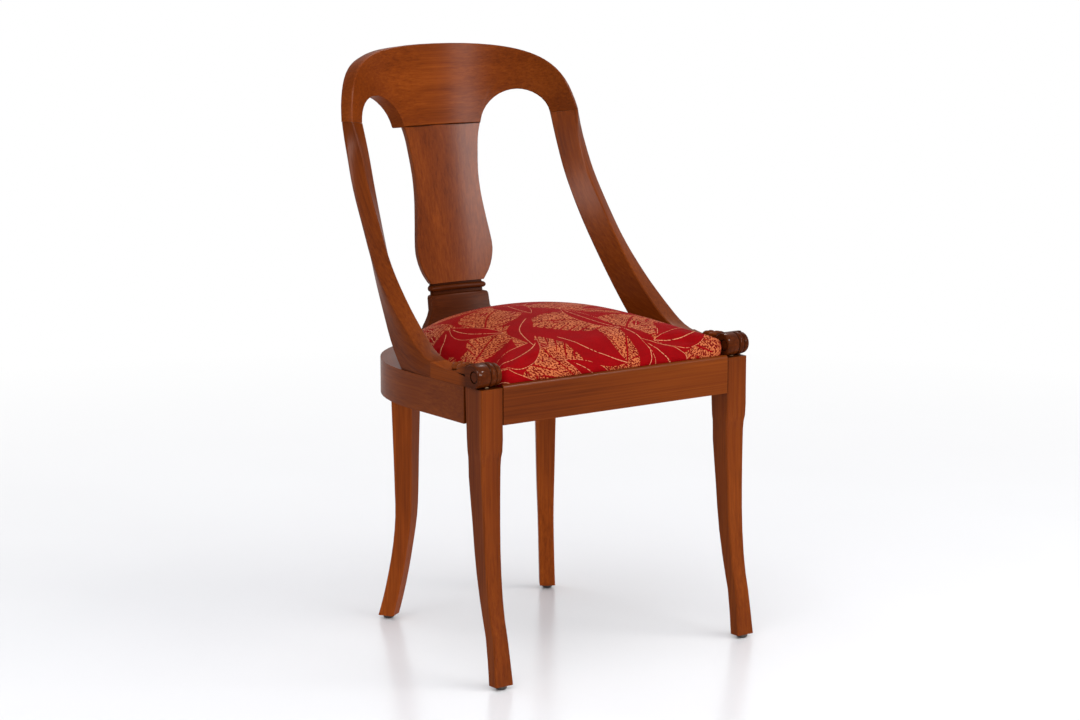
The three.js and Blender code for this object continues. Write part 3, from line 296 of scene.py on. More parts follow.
def stained_wood(
    name, lay, seed, tones=WOOD, stain_and_painted_light=1.0, coat=0.12, coat_roughness=0.26,
    edge=0.0008, painted_shade_reach=0.008, painted_hollow_shade=0.5, plain_from=None, dark_end=None,
):
    """Stained and lacquered wood, lighter along its edges, with painted shade darkening its
    hollows.

    Beyond plain_from, a depth in millimetres, its tones are the plain wood's. Its dark_end is
    two places across, in millimetres, and the share of its tone that is left at the second.
    """
    material, graph, surface = new_material(name)
    # The tones are scaled per piece: mostly by its stain, though for some pieces the scale stands
    # in for painted light or shade.
    tones = [tuple(part * stain_and_painted_light for part in tone) for tone in tones]
    grain = graph.vector("ADD", lay(graph), tuple(seed * step for step in SEED_STEP))
    broad = graph.noise(grain, BROAD_CELLS, 2.0, 0.5, 0.3)
    streak = graph.noise(grain, STREAK_CELLS, 3.0, 0.6, 0.1)
    fine = graph.noise(grain, PORE_CELLS, 2.0, 0.6)
    fleck = graph.noise(grain, FLECK_CELLS, 1.0)
    figure = graph.math("ADD", graph.times(broad, BROAD_SHARE), graph.times(streak, STREAK_SHARE))
    colour = graph.ramp(figure, TONE_PLACES, tones)
    if plain_from is not None:
        plain = graph.ramp(figure, PLAIN_PLACES, WOOD)
        depth = graph.math("SUBTRACT", graph.separate(object_place(graph))[1], FRONT)
        start = plain_from * MM
        beyond = graph.span(depth, start - PLAIN_FADE, start + PLAIN_FADE)
        colour = graph.blend(beyond, colour, plain)
    if dark_end is not None:
        start, finish, left = dark_end
        sides = graph.separate(object_place(graph))[0]
        colour = graph.shaded(colour, graph.span(sides, start * MM, finish * MM, 1.0, left))
    colour = graph.shaded(colour, graph.span(fine, *PORE_SHADE))
    colour = graph.shaded(colour, graph.span(fleck, *FLECK_SHADE))
    softened = graph.node("ShaderNodeBevel", samples=SPOT_SAMPLES)
    softened.inputs["Radius"].default_value = edge
    flat = graph.node("ShaderNodeNewGeometry").outputs["Normal"]
    # Lighter towards the light tone along edges, by how far the softened normal bends from the
    # flat one.
    bend = graph.vector("DISTANCE", softened.outputs[0], flat)
    colour = graph.blend(graph.span(bend, *EDGE_LIGHTENING), colour, tones[2])
    # Painted shade: ambient occlusion takes the tone down in hollows, grooves and the gaps
    # between pieces.
    hollow = graph.node("ShaderNodeAmbientOcclusion", samples=SPOT_SAMPLES)
    hollow.inputs["Distance"].default_value = painted_shade_reach
    shade = graph.span(hollow.outputs["AO"], *PAINTED_SHADE_RANGE, painted_hollow_shade, 1.0)
    smear = graph.noise(grain, SMEAR_CELLS)
    pores = graph.math("ADD", graph.times(fine, PORE_SHARE), graph.times(streak, GROOVE_SHARE))
    graph.fill(surface, {
        "Base Color": graph.shaded(colour, shade),
        "Roughness": graph.span(smear, *WOOD_ROUGHNESS),
        "Normal": graph.bump(pores, PORE_BUMP, PORE_DEPTH, softened.outputs[0]),
        "Specular IOR Level": 0.015,
        "Specular Tint": (1.0, 0.6, 0.38, 1.0),
        "Coat Weight": coat,
        "Coat Roughness": coat_roughness,
        "IOR": 1.5,
    })
    return material


# Softening of the CAD nodes' facets: their own corners stay, and round faces shade smoothly.
SAME_PLACE = 0.00002
SHARP_ANGLE = math.radians(32)


def smooth_group():
    """Geometry nodes that join a node's facets and smooth all but its sharp edges."""
    tree = bpy.data.node_groups.new("smooth_faces", "GeometryNodeTree")
    tree.interface.new_socket("Geometry", in_out="INPUT", socket_type="NodeSocketGeometry")
    tree.interface.new_socket("Geometry", in_out="OUTPUT", socket_type="NodeSocketGeometry")
    graph = Graph(tree)
    source = graph.node("NodeGroupInput")
    drain = graph.node("NodeGroupOutput")
    bare = graph.node("GeometryNodeRemoveAttribute")
    graph.fill(bare, {"Geometry": source.outputs[0], "Name": "custom_normal"})
    merged = graph.node("GeometryNodeMergeByDistance")
    graph.fill(merged, {"Geometry": bare.outputs[0], "Distance": SAME_PLACE})
    faces = graph.node("GeometryNodeSetShadeSmooth", domain="FACE")
    graph.fill(faces, {"Geometry": merged.outputs[0], "Shade Smooth": True})
    angle = graph.node("GeometryNodeInputMeshEdgeAngle")
    sharp = graph.node("FunctionNodeCompare", data_type="FLOAT", operation="GREATER_THAN")
    graph.feed(sharp.inputs[0], angle.outputs["Unsigned Angle"])
    graph.feed(sharp.inputs[1], SHARP_ANGLE)
    edges = graph.node("GeometryNodeSetShadeSmooth", domain="EDGE")
    graph.fill(edges, {
        "Geometry": faces.outputs[0],
        "Selection": sharp.outputs[0],
        "Shade Smooth": False,
    })
    graph.feed(drain.inputs[0], edges.outputs[0])
    return tree


SMOOTH = smooth_group()


def dress(material, *names):
    """Gives CAD nodes a material and smooth round faces."""
    for name in names:
        piece = nodes[name]
        piece.data.materials.clear()
        piece.data.materials.append(material)
        piece.modifiers.new("smooth_faces", "NODES").node_group = SMOOTH


def named(*starts):
    """The CAD nodes whose names start so."""
    return [name for name in sorted(nodes) if name.startswith(starts)]


# Each wood: its name, the lay of its grain, its seed, its settings and its pieces
WOODS = (
    (
        "wood_crest", straight_grain("x"), 1,
        {"coat": 0.05, "dark_end": (60, 180, 0.66)},
        ["crest_rail"],
    ),
    (
        "wood_splat", straight_grain("z"), 2,
        {"stain_and_painted_light": 0.94},
        ["splat"],
    ),
    # Painted shade: the shoe's downturned faces take darker tones, a lower tone scale and a
    # deeper painted shade in its hollows.
    (
        "wood_shoe", straight_grain("x"), 3,
        {"tones": PAINTED_SHADE_TONES, "stain_and_painted_light": 0.8, "coat": 0.03, "painted_hollow_shade": 0.3},
        ["splat_shoe"],
    ),
    (
        "wood_front_rail", straight_grain("x"), 4,
        {"stain_and_painted_light": 0.82},
        ["front_rail"],
    ),
    (
        "wood_hoop", hoop_grain(171, 240), 5,
        {"stain_and_painted_light": 0.81},
        ["side_rail_left", "side_rail_right", "back_rail"],
    ),
    (
        "wood_stile", sweep_grain(90, 830, 350), 6,
        {"stain_and_painted_light": 0.84, "coat": 0.07},
        ["stile_left", "stile_right"],
    ),
    (
        "wood_front_leg", straight_grain("z"), 7,
        {"stain_and_painted_light": 0.91},
        ["front_leg_left", "front_leg_right"],
    ),
    # Painted light: the back legs' tone is raised well above the front legs' to brighten them
    # where the seat shades them.
    (
        "wood_back_leg", straight_grain("z"), 8,
        {"stain_and_painted_light": 1.38},
        ["back_leg_left", "back_leg_right"],
    ),
    (
        # The carved blocks take a deep painted shade in their grooves.
        "wood_carved", straight_grain("y"), 9,
        {
            "tones": CARVED, "stain_and_painted_light": 0.85, "coat": 0.06, "coat_roughness": 0.1,
            "edge": 0.0005, "painted_shade_reach": 0.003, "painted_hollow_shade": 0.03, "plain_from": 46,
        },
        ["scroll_block_left", "scroll_block_right"],
    ),
)
for name, lay, seed, settings, pieces in WOODS:
    dress(stained_wood(name, lay, seed, **settings), *pieces)

# Plain materials, each with its darker and lighter colour
BEECH = ((0.4, 0.24, 0.115), (0.56, 0.36, 0.19))
PLYWOOD = ((0.3, 0.18, 0.09), (0.52, 0.34, 0.18))
ZINC = ((0.42, 0.4, 0.34), (0.66, 0.66, 0.64))
NYLON = ((0.022, 0.015, 0.011), (0.06, 0.045, 0.034))
CAMBRIC = ((0.012, 0.012, 0.013), (0.03, 0.029, 0.03))
BOARD_CELLS = (6.0, 140.0, 140.0)
SAWN_CELLS = (60.0, 900.0, 900.0)
PLY = 0.0014

# How far a thread's wave turns in a metre, in radians
THREAD_TURN = 5200.0


def plain_wood(name, tones, roughness, ply=None):
    """Unfinished wood, with the plies of a board where their thickness is given."""
    material, graph, surface = new_material(name)
    spot = object_place(graph)
    figure = graph.noise(spot, BOARD_CELLS, 3.0, 0.6, 0.3)
    colour = graph.ramp(figure, (0.3, 0.7), tones)
    if ply is not None:
        layer = graph.math("FRACT", graph.math("DIVIDE", graph.separate(spot)[2], ply))
        off_middle = graph.math("ABSOLUTE", graph.math("SUBTRACT", layer, 0.5))
        colour = graph.blend(graph.span(off_middle, 0.2, 0.3, 0.0, 0.5), colour, tones[0])
    graph.fill(surface, {
        "Base Color": colour,
        "Roughness": graph.span(figure, 0.2, 0.8, roughness, roughness + 0.1),
        "Normal": graph.bump(graph.noise(spot, SAWN_CELLS), 0.3, 0.0004),
    })
    return material


def steel():
    """Zinc-coated steel, a little worn."""
    material, graph, surface = new_material("zinc_steel_worn")
    spot = object_place(graph)
    dull = graph.noise(spot, 260.0, 3.0)
    graph.fill(surface, {
        "Base Color": graph.ramp(dull, (0.3, 0.7), ZINC),
        "Roughness": graph.span(dull, 0.3, 0.7, 0.28, 0.45),
        "Normal": graph.bump(graph.noise(spot, 1400.0), 0.1, 0.0003),
        "Metallic": 1.0,
    })
    return material


def nylon():
    """Dark nylon, scuffed as glides are."""
    material, graph, surface = new_material("dark_glide")
    scuff = graph.noise(object_place(graph), 420.0, 4.0, 0.7)
    graph.fill(surface, {
        "Base Color": graph.ramp(scuff, (0.35, 0.75), NYLON),
        "Roughness": graph.span(scuff, 0.3, 0.7, 0.4, 0.6),
        "Normal": graph.bump(scuff, 0.15, 0.0004),
    })
    return material


def cambric():
    """Thin black woven dust cloth."""
    material, graph, surface = new_material("black_cambric")
    spot = object_place(graph)
    x, y, _ = graph.separate(spot)
    warp = graph.math("SINE", graph.times(x, THREAD_TURN))
    weft = graph.math("SINE", graph.times(y, THREAD_TURN))
    fade = graph.noise(spot, 18.0, 3.0)
    graph.fill(surface, {
        "Base Color": graph.ramp(fade, (0.3, 0.7), CAMBRIC),
        "Roughness": graph.span(fade, 0.3, 0.7, 0.85, 0.95),
        "Normal": graph.bump(graph.times(warp, weft), 0.25, 0.0003),
        "Sheen Weight": 0.2,
    })
    return material


beech = plain_wood("raw_beech_sawn", BEECH, 0.6)
dress(beech, *named("corner_block", "front_dowel", "side_dowel", "back_leg_dowel", "crest_dowel"))
dress(beech, *named("stile_dowel", "scroll_dowel", "shoe_dowel"))
dress(plain_wood("plywood_board", PLYWOOD, 0.62, PLY), "seat_board")
dress(steel(), *named("block_bolt", "seat_screw"))
dress(nylon(), *named("glide"))
dress(cambric(), "dust_cover")

# Damask: leaves in solid crimson with pale veins, over broad leaves that are stippled with gold
CRIMSON = (0.29, 0.0013, 0.0033)
CRIMSON_DEEP = (0.19, 0.0009, 0.002)
CRIMSON_SHADE = (0.1, 0.0006, 0.002)
GOLD = (0.5, 0.127, 0.044)
PALE_GOLD = (0.62, 0.25, 0.125)

# The figure repeats after a tile. Each leaf in it: its middle, as shares of the tile across and
# up, its turn in degrees, its length and width in millimetres before LEAF_SCALE, and its bend as
# a share of its length.
TILE = 0.31
LEAF_SCALE = 0.87
GOLD_LEAVES = [
    (0.14, 0.2, 38, 190, 112, 0.1),
    (0.5, 0.12, 148, 180, 104, -0.12),
    (0.84, 0.36, 72, 190, 110, 0.1),
    (0.38, 0.5, 8, 190, 104, -0.1),
    (0.08, 0.66, 112, 180, 104, 0.1),
    (0.62, 0.74, 52, 196, 112, 0.1),
    (0.3, 0.88, 160, 170, 96, -0.1),
    (0.92, 0.9, 20, 150, 84, 0.1),
]
CRIMSON_LEAVES = [
    (0.33, 0.3, 66, 160, 58, 0.13),
    (0.52, 0.34, 22, 150, 52, 0.14),
    (0.22, 0.44, 128, 150, 54, -0.13),
    (0.7, 0.18, 34, 150, 54, -0.14),
    (0.94, 0.12, 104, 130, 44, 0.13),
    (0.56, 0.6, 98, 160, 56, -0.11),
    (0.76, 0.58, 150, 140, 50, 0.13),
    (0.3, 0.68, 140, 150, 52, 0.12),
    (0.86, 0.72, 18, 150, 50, -0.13),
    (0.1, 0.9, 58, 140, 48, 0.11),
    (0.48, 0.94, 112, 130, 44, 0.13),
]
SEEDS = [
    (0.1, 0.28, 38, 28, 14, 0.0),
    (0.2, 0.17, 20, 26, 12, 0.0),
    (0.45, 0.17, 150, 26, 13, 0.0),
    (0.88, 0.44, 75, 28, 13, 0.0),
    (0.8, 0.3, 66, 24, 12, 0.0),
    (0.42, 0.45, 8, 26, 12, 0.0),
    (0.04, 0.72, 112, 26, 13, 0.0),
    (0.66, 0.82, 50, 28, 13, 0.0),
    (0.72, 0.72, 60, 24, 12, 0.0),
    (0.26, 0.92, 160, 24, 12, 0.0),
]

# A leaf's width follows an arch, times FULLNESS at its foot and TAPER less at its tip.
FULLNESS = 1.15
TAPER = 0.35
LEAF_BLUR = 0.0006

# Its middle vein runs out near the tip, as a share of its length, and its ribs start beside the
# vein, as a share of its half width.
VEIN_END = (0.86, 0.9)
RIB_START = (0.3, 0.5)
RIB_COUNT = 9.0
RIB_LEAN = 0.9
RIB_SPREAD = 2.2
RIB_EDGE = (0.4, 0.6)
LEAST_REACH = 0.001
HANDED_ON = 1e-7

# The field is 0 on bare crimson, GOLD_FILL on gold leaves and LINE_FILL on pale lines. Lines
# and ribs have their width in millimetres.
GOLD_FILL = 0.55
LINE_FILL = 1.0
GOLD_RANGE = (0.2, 0.5)
LINE_RANGE = (0.6, 0.95)
GOLD_RIB = 1.9
SEED_LINE = 0.8
CRIMSON_LINE = 0.85

# Threads of the cloth: cells per metre, and ranges as they are for wood
SWAY_CELLS = 9.0
SWAY = 0.02
GROUND_CELLS = 40.0
PATCH_CELLS = 42.0
PATCH_CUT = (0.34, 0.66, 0.54, 0.44)
FLOAT_CELLS = (330.0, 440.0, 1.0)
FLOAT_SLANT = math.radians(38)
FLOAT_EDGE = 0.03
LINE_BREAKS = (0.3, 0.42)
UNDER_GOLD = 0.7
TWILL_TURN = 6200.0
TWILL_HEIGHT = 0.15
THREAD_BUMP = 0.25
THREAD_DEPTH = 0.0005
CLOTH_ROUGHNESS = (0.0, 1.0, 0.72, 0.5)


def leaf_group():
    """One leaf laid over a field, with its fill inside it and its line on its veins and edge."""
    tree = bpy.data.node_groups.new("damask_leaf", "ShaderNodeTree")
    for name in ("Spot", "Middle"):
        tree.interface.new_socket(name, in_out="INPUT", socket_type="NodeSocketVector")
    for name in (
        "Turn", "Length", "Width", "Bend", "Fill", "Line", "Line Width", "Edge", "Ribs", "Field"
    ):
        tree.interface.new_socket(name, in_out="INPUT", socket_type="NodeSocketFloat")
    tree.interface.new_socket("Field", in_out="OUTPUT", socket_type="NodeSocketFloat")
    tree.interface.new_socket("Spot", in_out="OUTPUT", socket_type="NodeSocketVector")
    graph = Graph(tree)
    source = graph.node("NodeGroupInput").outputs
    drain = graph.node("NodeGroupOutput")
    away = graph.vector("SUBTRACT", source["Spot"], source["Middle"])
    high, low = (TILE / 2, TILE / 2, 1.0), (-TILE / 2, -TILE / 2, -1.0)
    away = graph.turned(graph.vector("WRAP", away, high, low), graph.times(source["Turn"], -1.0))
    along, across, _ = graph.separate(away)
    share = graph.math("ADD", graph.math("DIVIDE", along, source["Length"]), 0.5)
    arch = graph.times(share, graph.math("SUBTRACT", 1.0, share), 4.0)
    arch = graph.math("MAXIMUM", arch, 0.0)
    off = graph.math("SUBTRACT", across, graph.times(arch, source["Bend"], source["Length"]))
    off = graph.math("ABSOLUTE", off)
    # The leaf is fullest a little before its middle and runs out to a point.
    full = graph.math("SUBTRACT", FULLNESS, graph.times(share, TAPER))
    reach = graph.times(arch, full, graph.times(source["Width"], 0.5))
    depth = graph.math("SUBTRACT", reach, off)
    inside = graph.span(depth, 0.0, LEAF_BLUR)
    field = graph.toward(source["Field"], source["Fill"], inside)
    thin = source["Line Width"]
    outline = graph.span(depth, thin, graph.times(thin, 1.5), 1.0, 0.0)
    outline = graph.times(inside, outline, source["Edge"])
    vein = graph.span(off, graph.times(thin, 0.5), thin, 1.0, 0.0)
    vein = graph.times(inside, vein, graph.span(share, *VEIN_END, 1.0, 0.0))
    marks = graph.math("MAXIMUM", outline, vein)
    # Ribs widen from the middle vein to the edge and lean towards the tip, as a feather's do.
    rib_gap = graph.math("DIVIDE", source["Length"], RIB_COUNT)
    forward = graph.math("SUBTRACT", along, graph.times(off, RIB_LEAN))
    from_rib = graph.math("PINGPONG", forward, graph.times(rib_gap, 0.5))
    outward = graph.math("DIVIDE", off, graph.math("MAXIMUM", reach, LEAST_REACH))
    width = graph.times(thin, RIB_SPREAD, outward)
    blur = [graph.times(width, edge) for edge in RIB_EDGE]
    rib = graph.span(from_rib, *blur, 1.0, 0.0)
    rib = graph.times(rib, inside, graph.span(outward, *RIB_START))
    marks = graph.math("MAXIMUM", marks, graph.times(rib, source["Ribs"]))
    field = graph.toward(field, source["Line"], marks)
    graph.feed(drain.inputs[0], field)
    # The spot is handed on by way of the field, so that one leaf is finished before the next
    # begins and the renderer holds few values at once.
    nudge = graph.combine(graph.times(field, HANDED_ON), 0.0, 0.0)
    graph.feed(drain.inputs[1], graph.vector("ADD", source["Spot"], nudge))
    return tree


def damask():
    """The cover's woven cloth, laid out on the map that the cushion carries."""
    material, graph, surface = new_material("crimson_damask")
    cloth = graph.node("ShaderNodeUVMap", uv_map="cloth").outputs[0]
    sway = graph.combine(graph.times(graph.noise(cloth, SWAY_CELLS, 1.0), SWAY), 0.0, 0.0)
    leaf = leaf_group()

    def add_leaf(field, spot, row, fill, line, line_width, edge=0.0, ribs=0.0):
        middle_x, middle_y, turn, length, width, bend = row
        made = graph.node("ShaderNodeGroup", node_tree=leaf)
        graph.fill(made, {
            "Spot": spot,
            "Middle": (middle_x * TILE, middle_y * TILE, 0.0),
            "Turn": math.radians(turn),
            "Length": length * LEAF_SCALE * MM,
            "Width": width * LEAF_SCALE * MM,
            "Bend": bend,
            "Fill": fill,
            "Line": line,
            "Line Width": line_width * MM,
            "Edge": edge,
            "Ribs": ribs,
            "Field": field,
        })
        return made.outputs[0], made.outputs[1]

    field = 0.0
    spot = graph.vector("ADD", cloth, sway)
    for row in GOLD_LEAVES:
        field, spot = add_leaf(field, spot, row, GOLD_FILL, 0.0, GOLD_RIB, ribs=1.0)
    for row in SEEDS:
        field, spot = add_leaf(field, spot, row, 0.0, LINE_FILL, SEED_LINE)
    for order, row in enumerate(CRIMSON_LEAVES):
        edge = 0.0 if order % 2 else 1.0
        field, spot = add_leaf(field, spot, row, 0.0, LINE_FILL, CRIMSON_LINE, edge)

    # Stipple: gold threads come up in short slanting floats.
    floats = graph.noise(graph.turned(cloth, FLOAT_SLANT), FLOAT_CELLS, 0.0, 0.4)
    cut = graph.span(graph.noise(cloth, PATCH_CELLS), *PATCH_CUT)
    stipple = graph.span(graph.math("SUBTRACT", floats, cut), -FLOAT_EDGE, FLOAT_EDGE)
    golden = graph.times(graph.span(field, *GOLD_RANGE), stipple)
    lines = graph.times(graph.span(field, *LINE_RANGE), graph.span(floats, *LINE_BREAKS))
    ground = graph.blend(graph.noise(cloth, GROUND_CELLS), CRIMSON_DEEP, CRIMSON)
    under = graph.span(field, *GOLD_RANGE, 0.0, UNDER_GOLD)
    ground = graph.blend(under, ground, CRIMSON_SHADE)
    colour = graph.blend(golden, ground, GOLD)
    colour = graph.blend(lines, colour, PALE_GOLD)
    u, v, _ = graph.separate(cloth)
    twill = graph.math("SINE", graph.times(graph.math("ADD", u, v), TWILL_TURN))
    raised = graph.math("MAXIMUM", golden, lines)
    height = graph.math("ADD", graph.times(twill, TWILL_HEIGHT), raised)
    graph.fill(surface, {
        "Base Color": colour,
        "Normal": graph.bump(height, THREAD_BUMP, THREAD_DEPTH),
        "Roughness": graph.span(raised, *CLOTH_ROUGHNESS),
        "Specular IOR Level": 0.015,
        "Sheen Weight": 0.12,
        "Sheen Roughness": 0.2,
        "Sheen Tint": (1.0, 0.3, 0.22, 1.0),
    })
    return material


# Cushion: a crowned pad drawn over its board, in millimetres. Its plan is narrow between the
# scroll blocks, steps out behind them, and follows the frame's round back at an inset.
HALF_WIDTH = 209.2
NARROW = 202.0
PLAN_FRONT = 6.3
CORNER = 15.0
NOTCH = 46.3
NOTCH_RUN = 14.0
HOOP_START = 171.0
HOOP_DEPTH = 245.0
FRAME_HALF_WIDTH = 242.0
HOOP_INSET = 32.8
HOOP_POWER = 2.25
FRONT_STEPS = 24
CORNER_STEPS = 8
SIDE_STEPS = 14
HOOP_STEPS = 48

# Its crown falls to a wall above the rail, which is tallest in the middle of the front.
MIDDLE_DEPTH = 195.5
PLAN_MIDDLE = Vector((0.0, MIDDLE_DEPTH))
CROWN_TOP = 495.5
CROWN_POWER = 2.35
CROWN_RINGS = 30
BOARD_GAP = 0.3
RAIL_HEIGHT = FRONT_RAIL_TOP / MM
RIM_HEIGHT = SEAT_BOX[0].z / MM
BOARD_HEIGHT = BOARD_BOX[1].z / MM + BOARD_GAP
SIDE_WALL = 15.5
FRONT_WALL = 25.0
FRONT_BULGE = 1.8

# Rings of the wall: the share of the way down to the rail, and how far in from the plan. The
# rings under them run down inside the frame and in over the board.
WALL_RINGS = ((0.22, -0.6), (0.45, -1.2), (0.7, -1.0), (0.92, -0.2))
WELT_INSET = 0.3
RIM_INSET = 0.8
UNDER_INSET = 2.0
UNDER_SHARES = (0.9, 0.75, 0.6, 0.45, 0.3, 0.15)

# Where the crown's middle lies on the cloth's pattern, in metres
CLOTH_MIDDLE = Vector((0.11, 0.07))


def hoop_point(turn):
    """A point of the seat's round back, set in from the frame's curve."""
    power = 2 / HOOP_POWER
    across = max(math.cos(turn), 0.0) ** power
    back = math.sin(turn) ** power
    slope = HOOP_POWER - 1
    normal = Vector((across**slope / FRAME_HALF_WIDTH, back**slope / HOOP_DEPTH)).normalized()
    point = Vector((FRAME_HALF_WIDTH * across, HOOP_START + HOOP_DEPTH * back))
    return point - normal * HOOP_INSET


def seat_plan():
    """Half outline of the seat, from the middle of its front to the middle of its back."""
    straight = NARROW - CORNER
    points = [Vector((straight * i / FRONT_STEPS, PLAN_FRONT)) for i in range(FRONT_STEPS)]
    for i in range(CORNER_STEPS + 1):
        turn = math.pi / 2 * i / CORNER_STEPS
        across, back = CORNER * math.sin(turn), CORNER * (1 - math.cos(turn))
        points.append(Vector((straight + across, PLAN_FRONT + back)))
    points.append(Vector((NARROW, (PLAN_FRONT + CORNER + NOTCH) / 2)))
    points.append(Vector((NARROW, NOTCH)))
    points.append(Vector(((NARROW + HALF_WIDTH) / 2, NOTCH + NOTCH_RUN / 2)))
    points.append(Vector((HALF_WIDTH, NOTCH + NOTCH_RUN)))
    run = HOOP_START - NOTCH - NOTCH_RUN
    for i in range(1, SIDE_STEPS):
        points.append(Vector((HALF_WIDTH, NOTCH + NOTCH_RUN + run * i / SIDE_STEPS)))
    points += [hoop_point(math.pi / 2 * i / HOOP_STEPS) for i in range(HOOP_STEPS + 1)]
    points[-1].x = 0.0
    return points


def pad_ring(plan, share, inset, height_at):
    """A ring a share of the way out to the plan. Its heights come from the shoulder's."""
    points = []
    for point in plan:
        arm = point - PLAN_MIDDLE
        oval = arm.length / math.hypot(arm.x / HALF_WIDTH, arm.y / (MIDDLE_DEPTH - PLAN_FRONT))
        length = (oval + (arm.length - oval) * share * share) * share - inset
        forward = max(-arm.y / MIDDLE_DEPTH, 0.0) ** CROWN_POWER
        length -= min(inset, 0.0) * forward * FRONT_BULGE
        spot = PLAN_MIDDLE + arm.normalized() * length
        wall = SIDE_WALL + (FRONT_WALL - SIDE_WALL) * forward
        points.append(place(spot.x, spot.y, height_at(RAIL_HEIGHT + wall)))
    return points


def pad_rings(plan):
    """The pad's rings from its crown to its underside, and the last one of its outside."""
    rings = []

    def add(share, inset, height_at):
        rings.append(pad_ring(plan, share, inset, height_at))

    for step in range(1, CROWN_RINGS):
        share = math.sin(math.pi / 2 * step / CROWN_RINGS)
        fall = share**CROWN_POWER
        add(share, 0.0, lambda shoulder: CROWN_TOP + (shoulder - CROWN_TOP) * fall)
    for down, inset in WALL_RINGS:
        add(1.0, inset, lambda shoulder: shoulder + (RAIL_HEIGHT - shoulder) * down)
    add(1.0, WELT_INSET, lambda shoulder: (RAIL_HEIGHT + RIM_HEIGHT) / 2)
    add(1.0, RIM_INSET, lambda shoulder: RIM_HEIGHT)
    outside = len(rings)
    add(1.0, UNDER_INSET, lambda shoulder: RIM_HEIGHT)
    for share in (1.0, *UNDER_SHARES):
        add(share, UNDER_INSET, lambda shoulder: BOARD_HEIGHT)
    return rings, outside


def cushion():
    """The drawn pad as one closed mesh, with its cloth laid from the crown outwards."""
    half = seat_plan()
    plan = half + [Vector((-point.x, point.y)) for point in reversed(half[1:-1])]
    count = len(plan)
    rings, outside = pad_rings(plan)
    build = bmesh.new()
    top = build.verts.new(place(0.0, MIDDLE_DEPTH, CROWN_TOP))
    rows = [[build.verts.new(point) for point in points] for points in rings]
    bottom = build.verts.new(place(0.0, MIDDLE_DEPTH, BOARD_HEIGHT))
    cloth = build.loops.layers.uv.new("cloth")
    travel = {top: Vector((0.0, 0.0)), bottom: Vector((0.0, 0.0))}
    for i in range(count):
        arm = (plan[i] - PLAN_MIDDLE).normalized()
        run = 0.0
        before = top.co
        for k, row in enumerate(rows):
            if k <= outside:
                run += (row[i].co - before).length
            before = row[i].co
            travel[row[i]] = arm * run
    for i in range(count):
        after = (i + 1) % count
        build.faces.new((top, rows[0][i], rows[0][after]))
        for first, second in zip(rows, rows[1:]):
            build.faces.new((first[i], second[i], second[after], first[after]))
        build.faces.new((bottom, rows[-1][after], rows[-1][i]))
    for face in build.faces:
        face.smooth = True
        for loop in face.loops:
            loop[cloth].uv = travel[loop.vert] + CLOTH_MIDDLE
    bmesh.ops.recalc_face_normals(build, faces=build.faces)
    mesh = bpy.data.meshes.new("seat_cushion")
    build.to_mesh(mesh)
    build.free()
    mesh.materials.append(damask())
    piece = bpy.data.objects.new("seat_cushion", mesh)
    bpy.context.scene.collection.objects.link(piece)
    return piece


# Shaping of the cushion, in metres: an even mesh, then cloth under pressure, with the points
# lower than HELD_ABOVE over the rail held and each point's move capped
VOXEL = 0.005
HELD_ABOVE = 0.0008
FILL_PRESSURE = 4.0
COVER_STIFFNESS = 80.0
COVER_SHEAR = 20.0
FILL_FRAMES = 20
SWELL_CAP = 0.005
SPREAD_CAP = 0.0008

# Pulls of the cover: PULL_SHAPE makes them PULL_HEIGHT high a third of the way along.
PULL_REACH = 0.13
PULL_HEIGHT = 0.0011
PULL_COUNT = 9.0
PULL_LEAN = 0.15
PULL_SHAPE = 6.75


def shaped(piece):
    """A piece as its modifiers leave it."""
    return piece.evaluated_get(bpy.context.evaluated_depsgraph_get())


def evened(piece):
    """Gives a piece an even mesh, and lays its drawn cloth on it again."""
    drawn = piece.data
    cloth = drawn.uv_layers["cloth"].data
    drawn.calc_loop_triangles()
    corners = [tuple(triangle.vertices) for triangle in drawn.loop_triangles]
    laid = [
        [Vector((*cloth[loop].uv, 0.0)) for loop in triangle.loops]
        for triangle in drawn.loop_triangles
    ]
    places = [vertex.co.copy() for vertex in drawn.vertices]
    tree = BVHTree.FromPolygons(places, corners)
    evener = piece.modifiers.new("even", "REMESH")
    evener.mode = "VOXEL"
    evener.voxel_size = VOXEL
    mesh = bpy.data.meshes.new_from_object(shaped(piece))
    piece.modifiers.clear()
    spots = []
    for vertex in mesh.vertices:
        near, _, index, _ = tree.find_nearest(vertex.co)
        around = [places[corner] for corner in corners[index]]
        spots.append(barycentric_transform(near, *around, *laid[index]).to_2d())
    layer = mesh.uv_layers.new(name="cloth")
    for loop in mesh.loops:
        layer.data[loop.index].uv = spots[loop.vertex_index]
    mesh.shade_smooth()
    mesh.materials.clear()
    mesh.materials.append(drawn.materials[0])
    piece.data = mesh


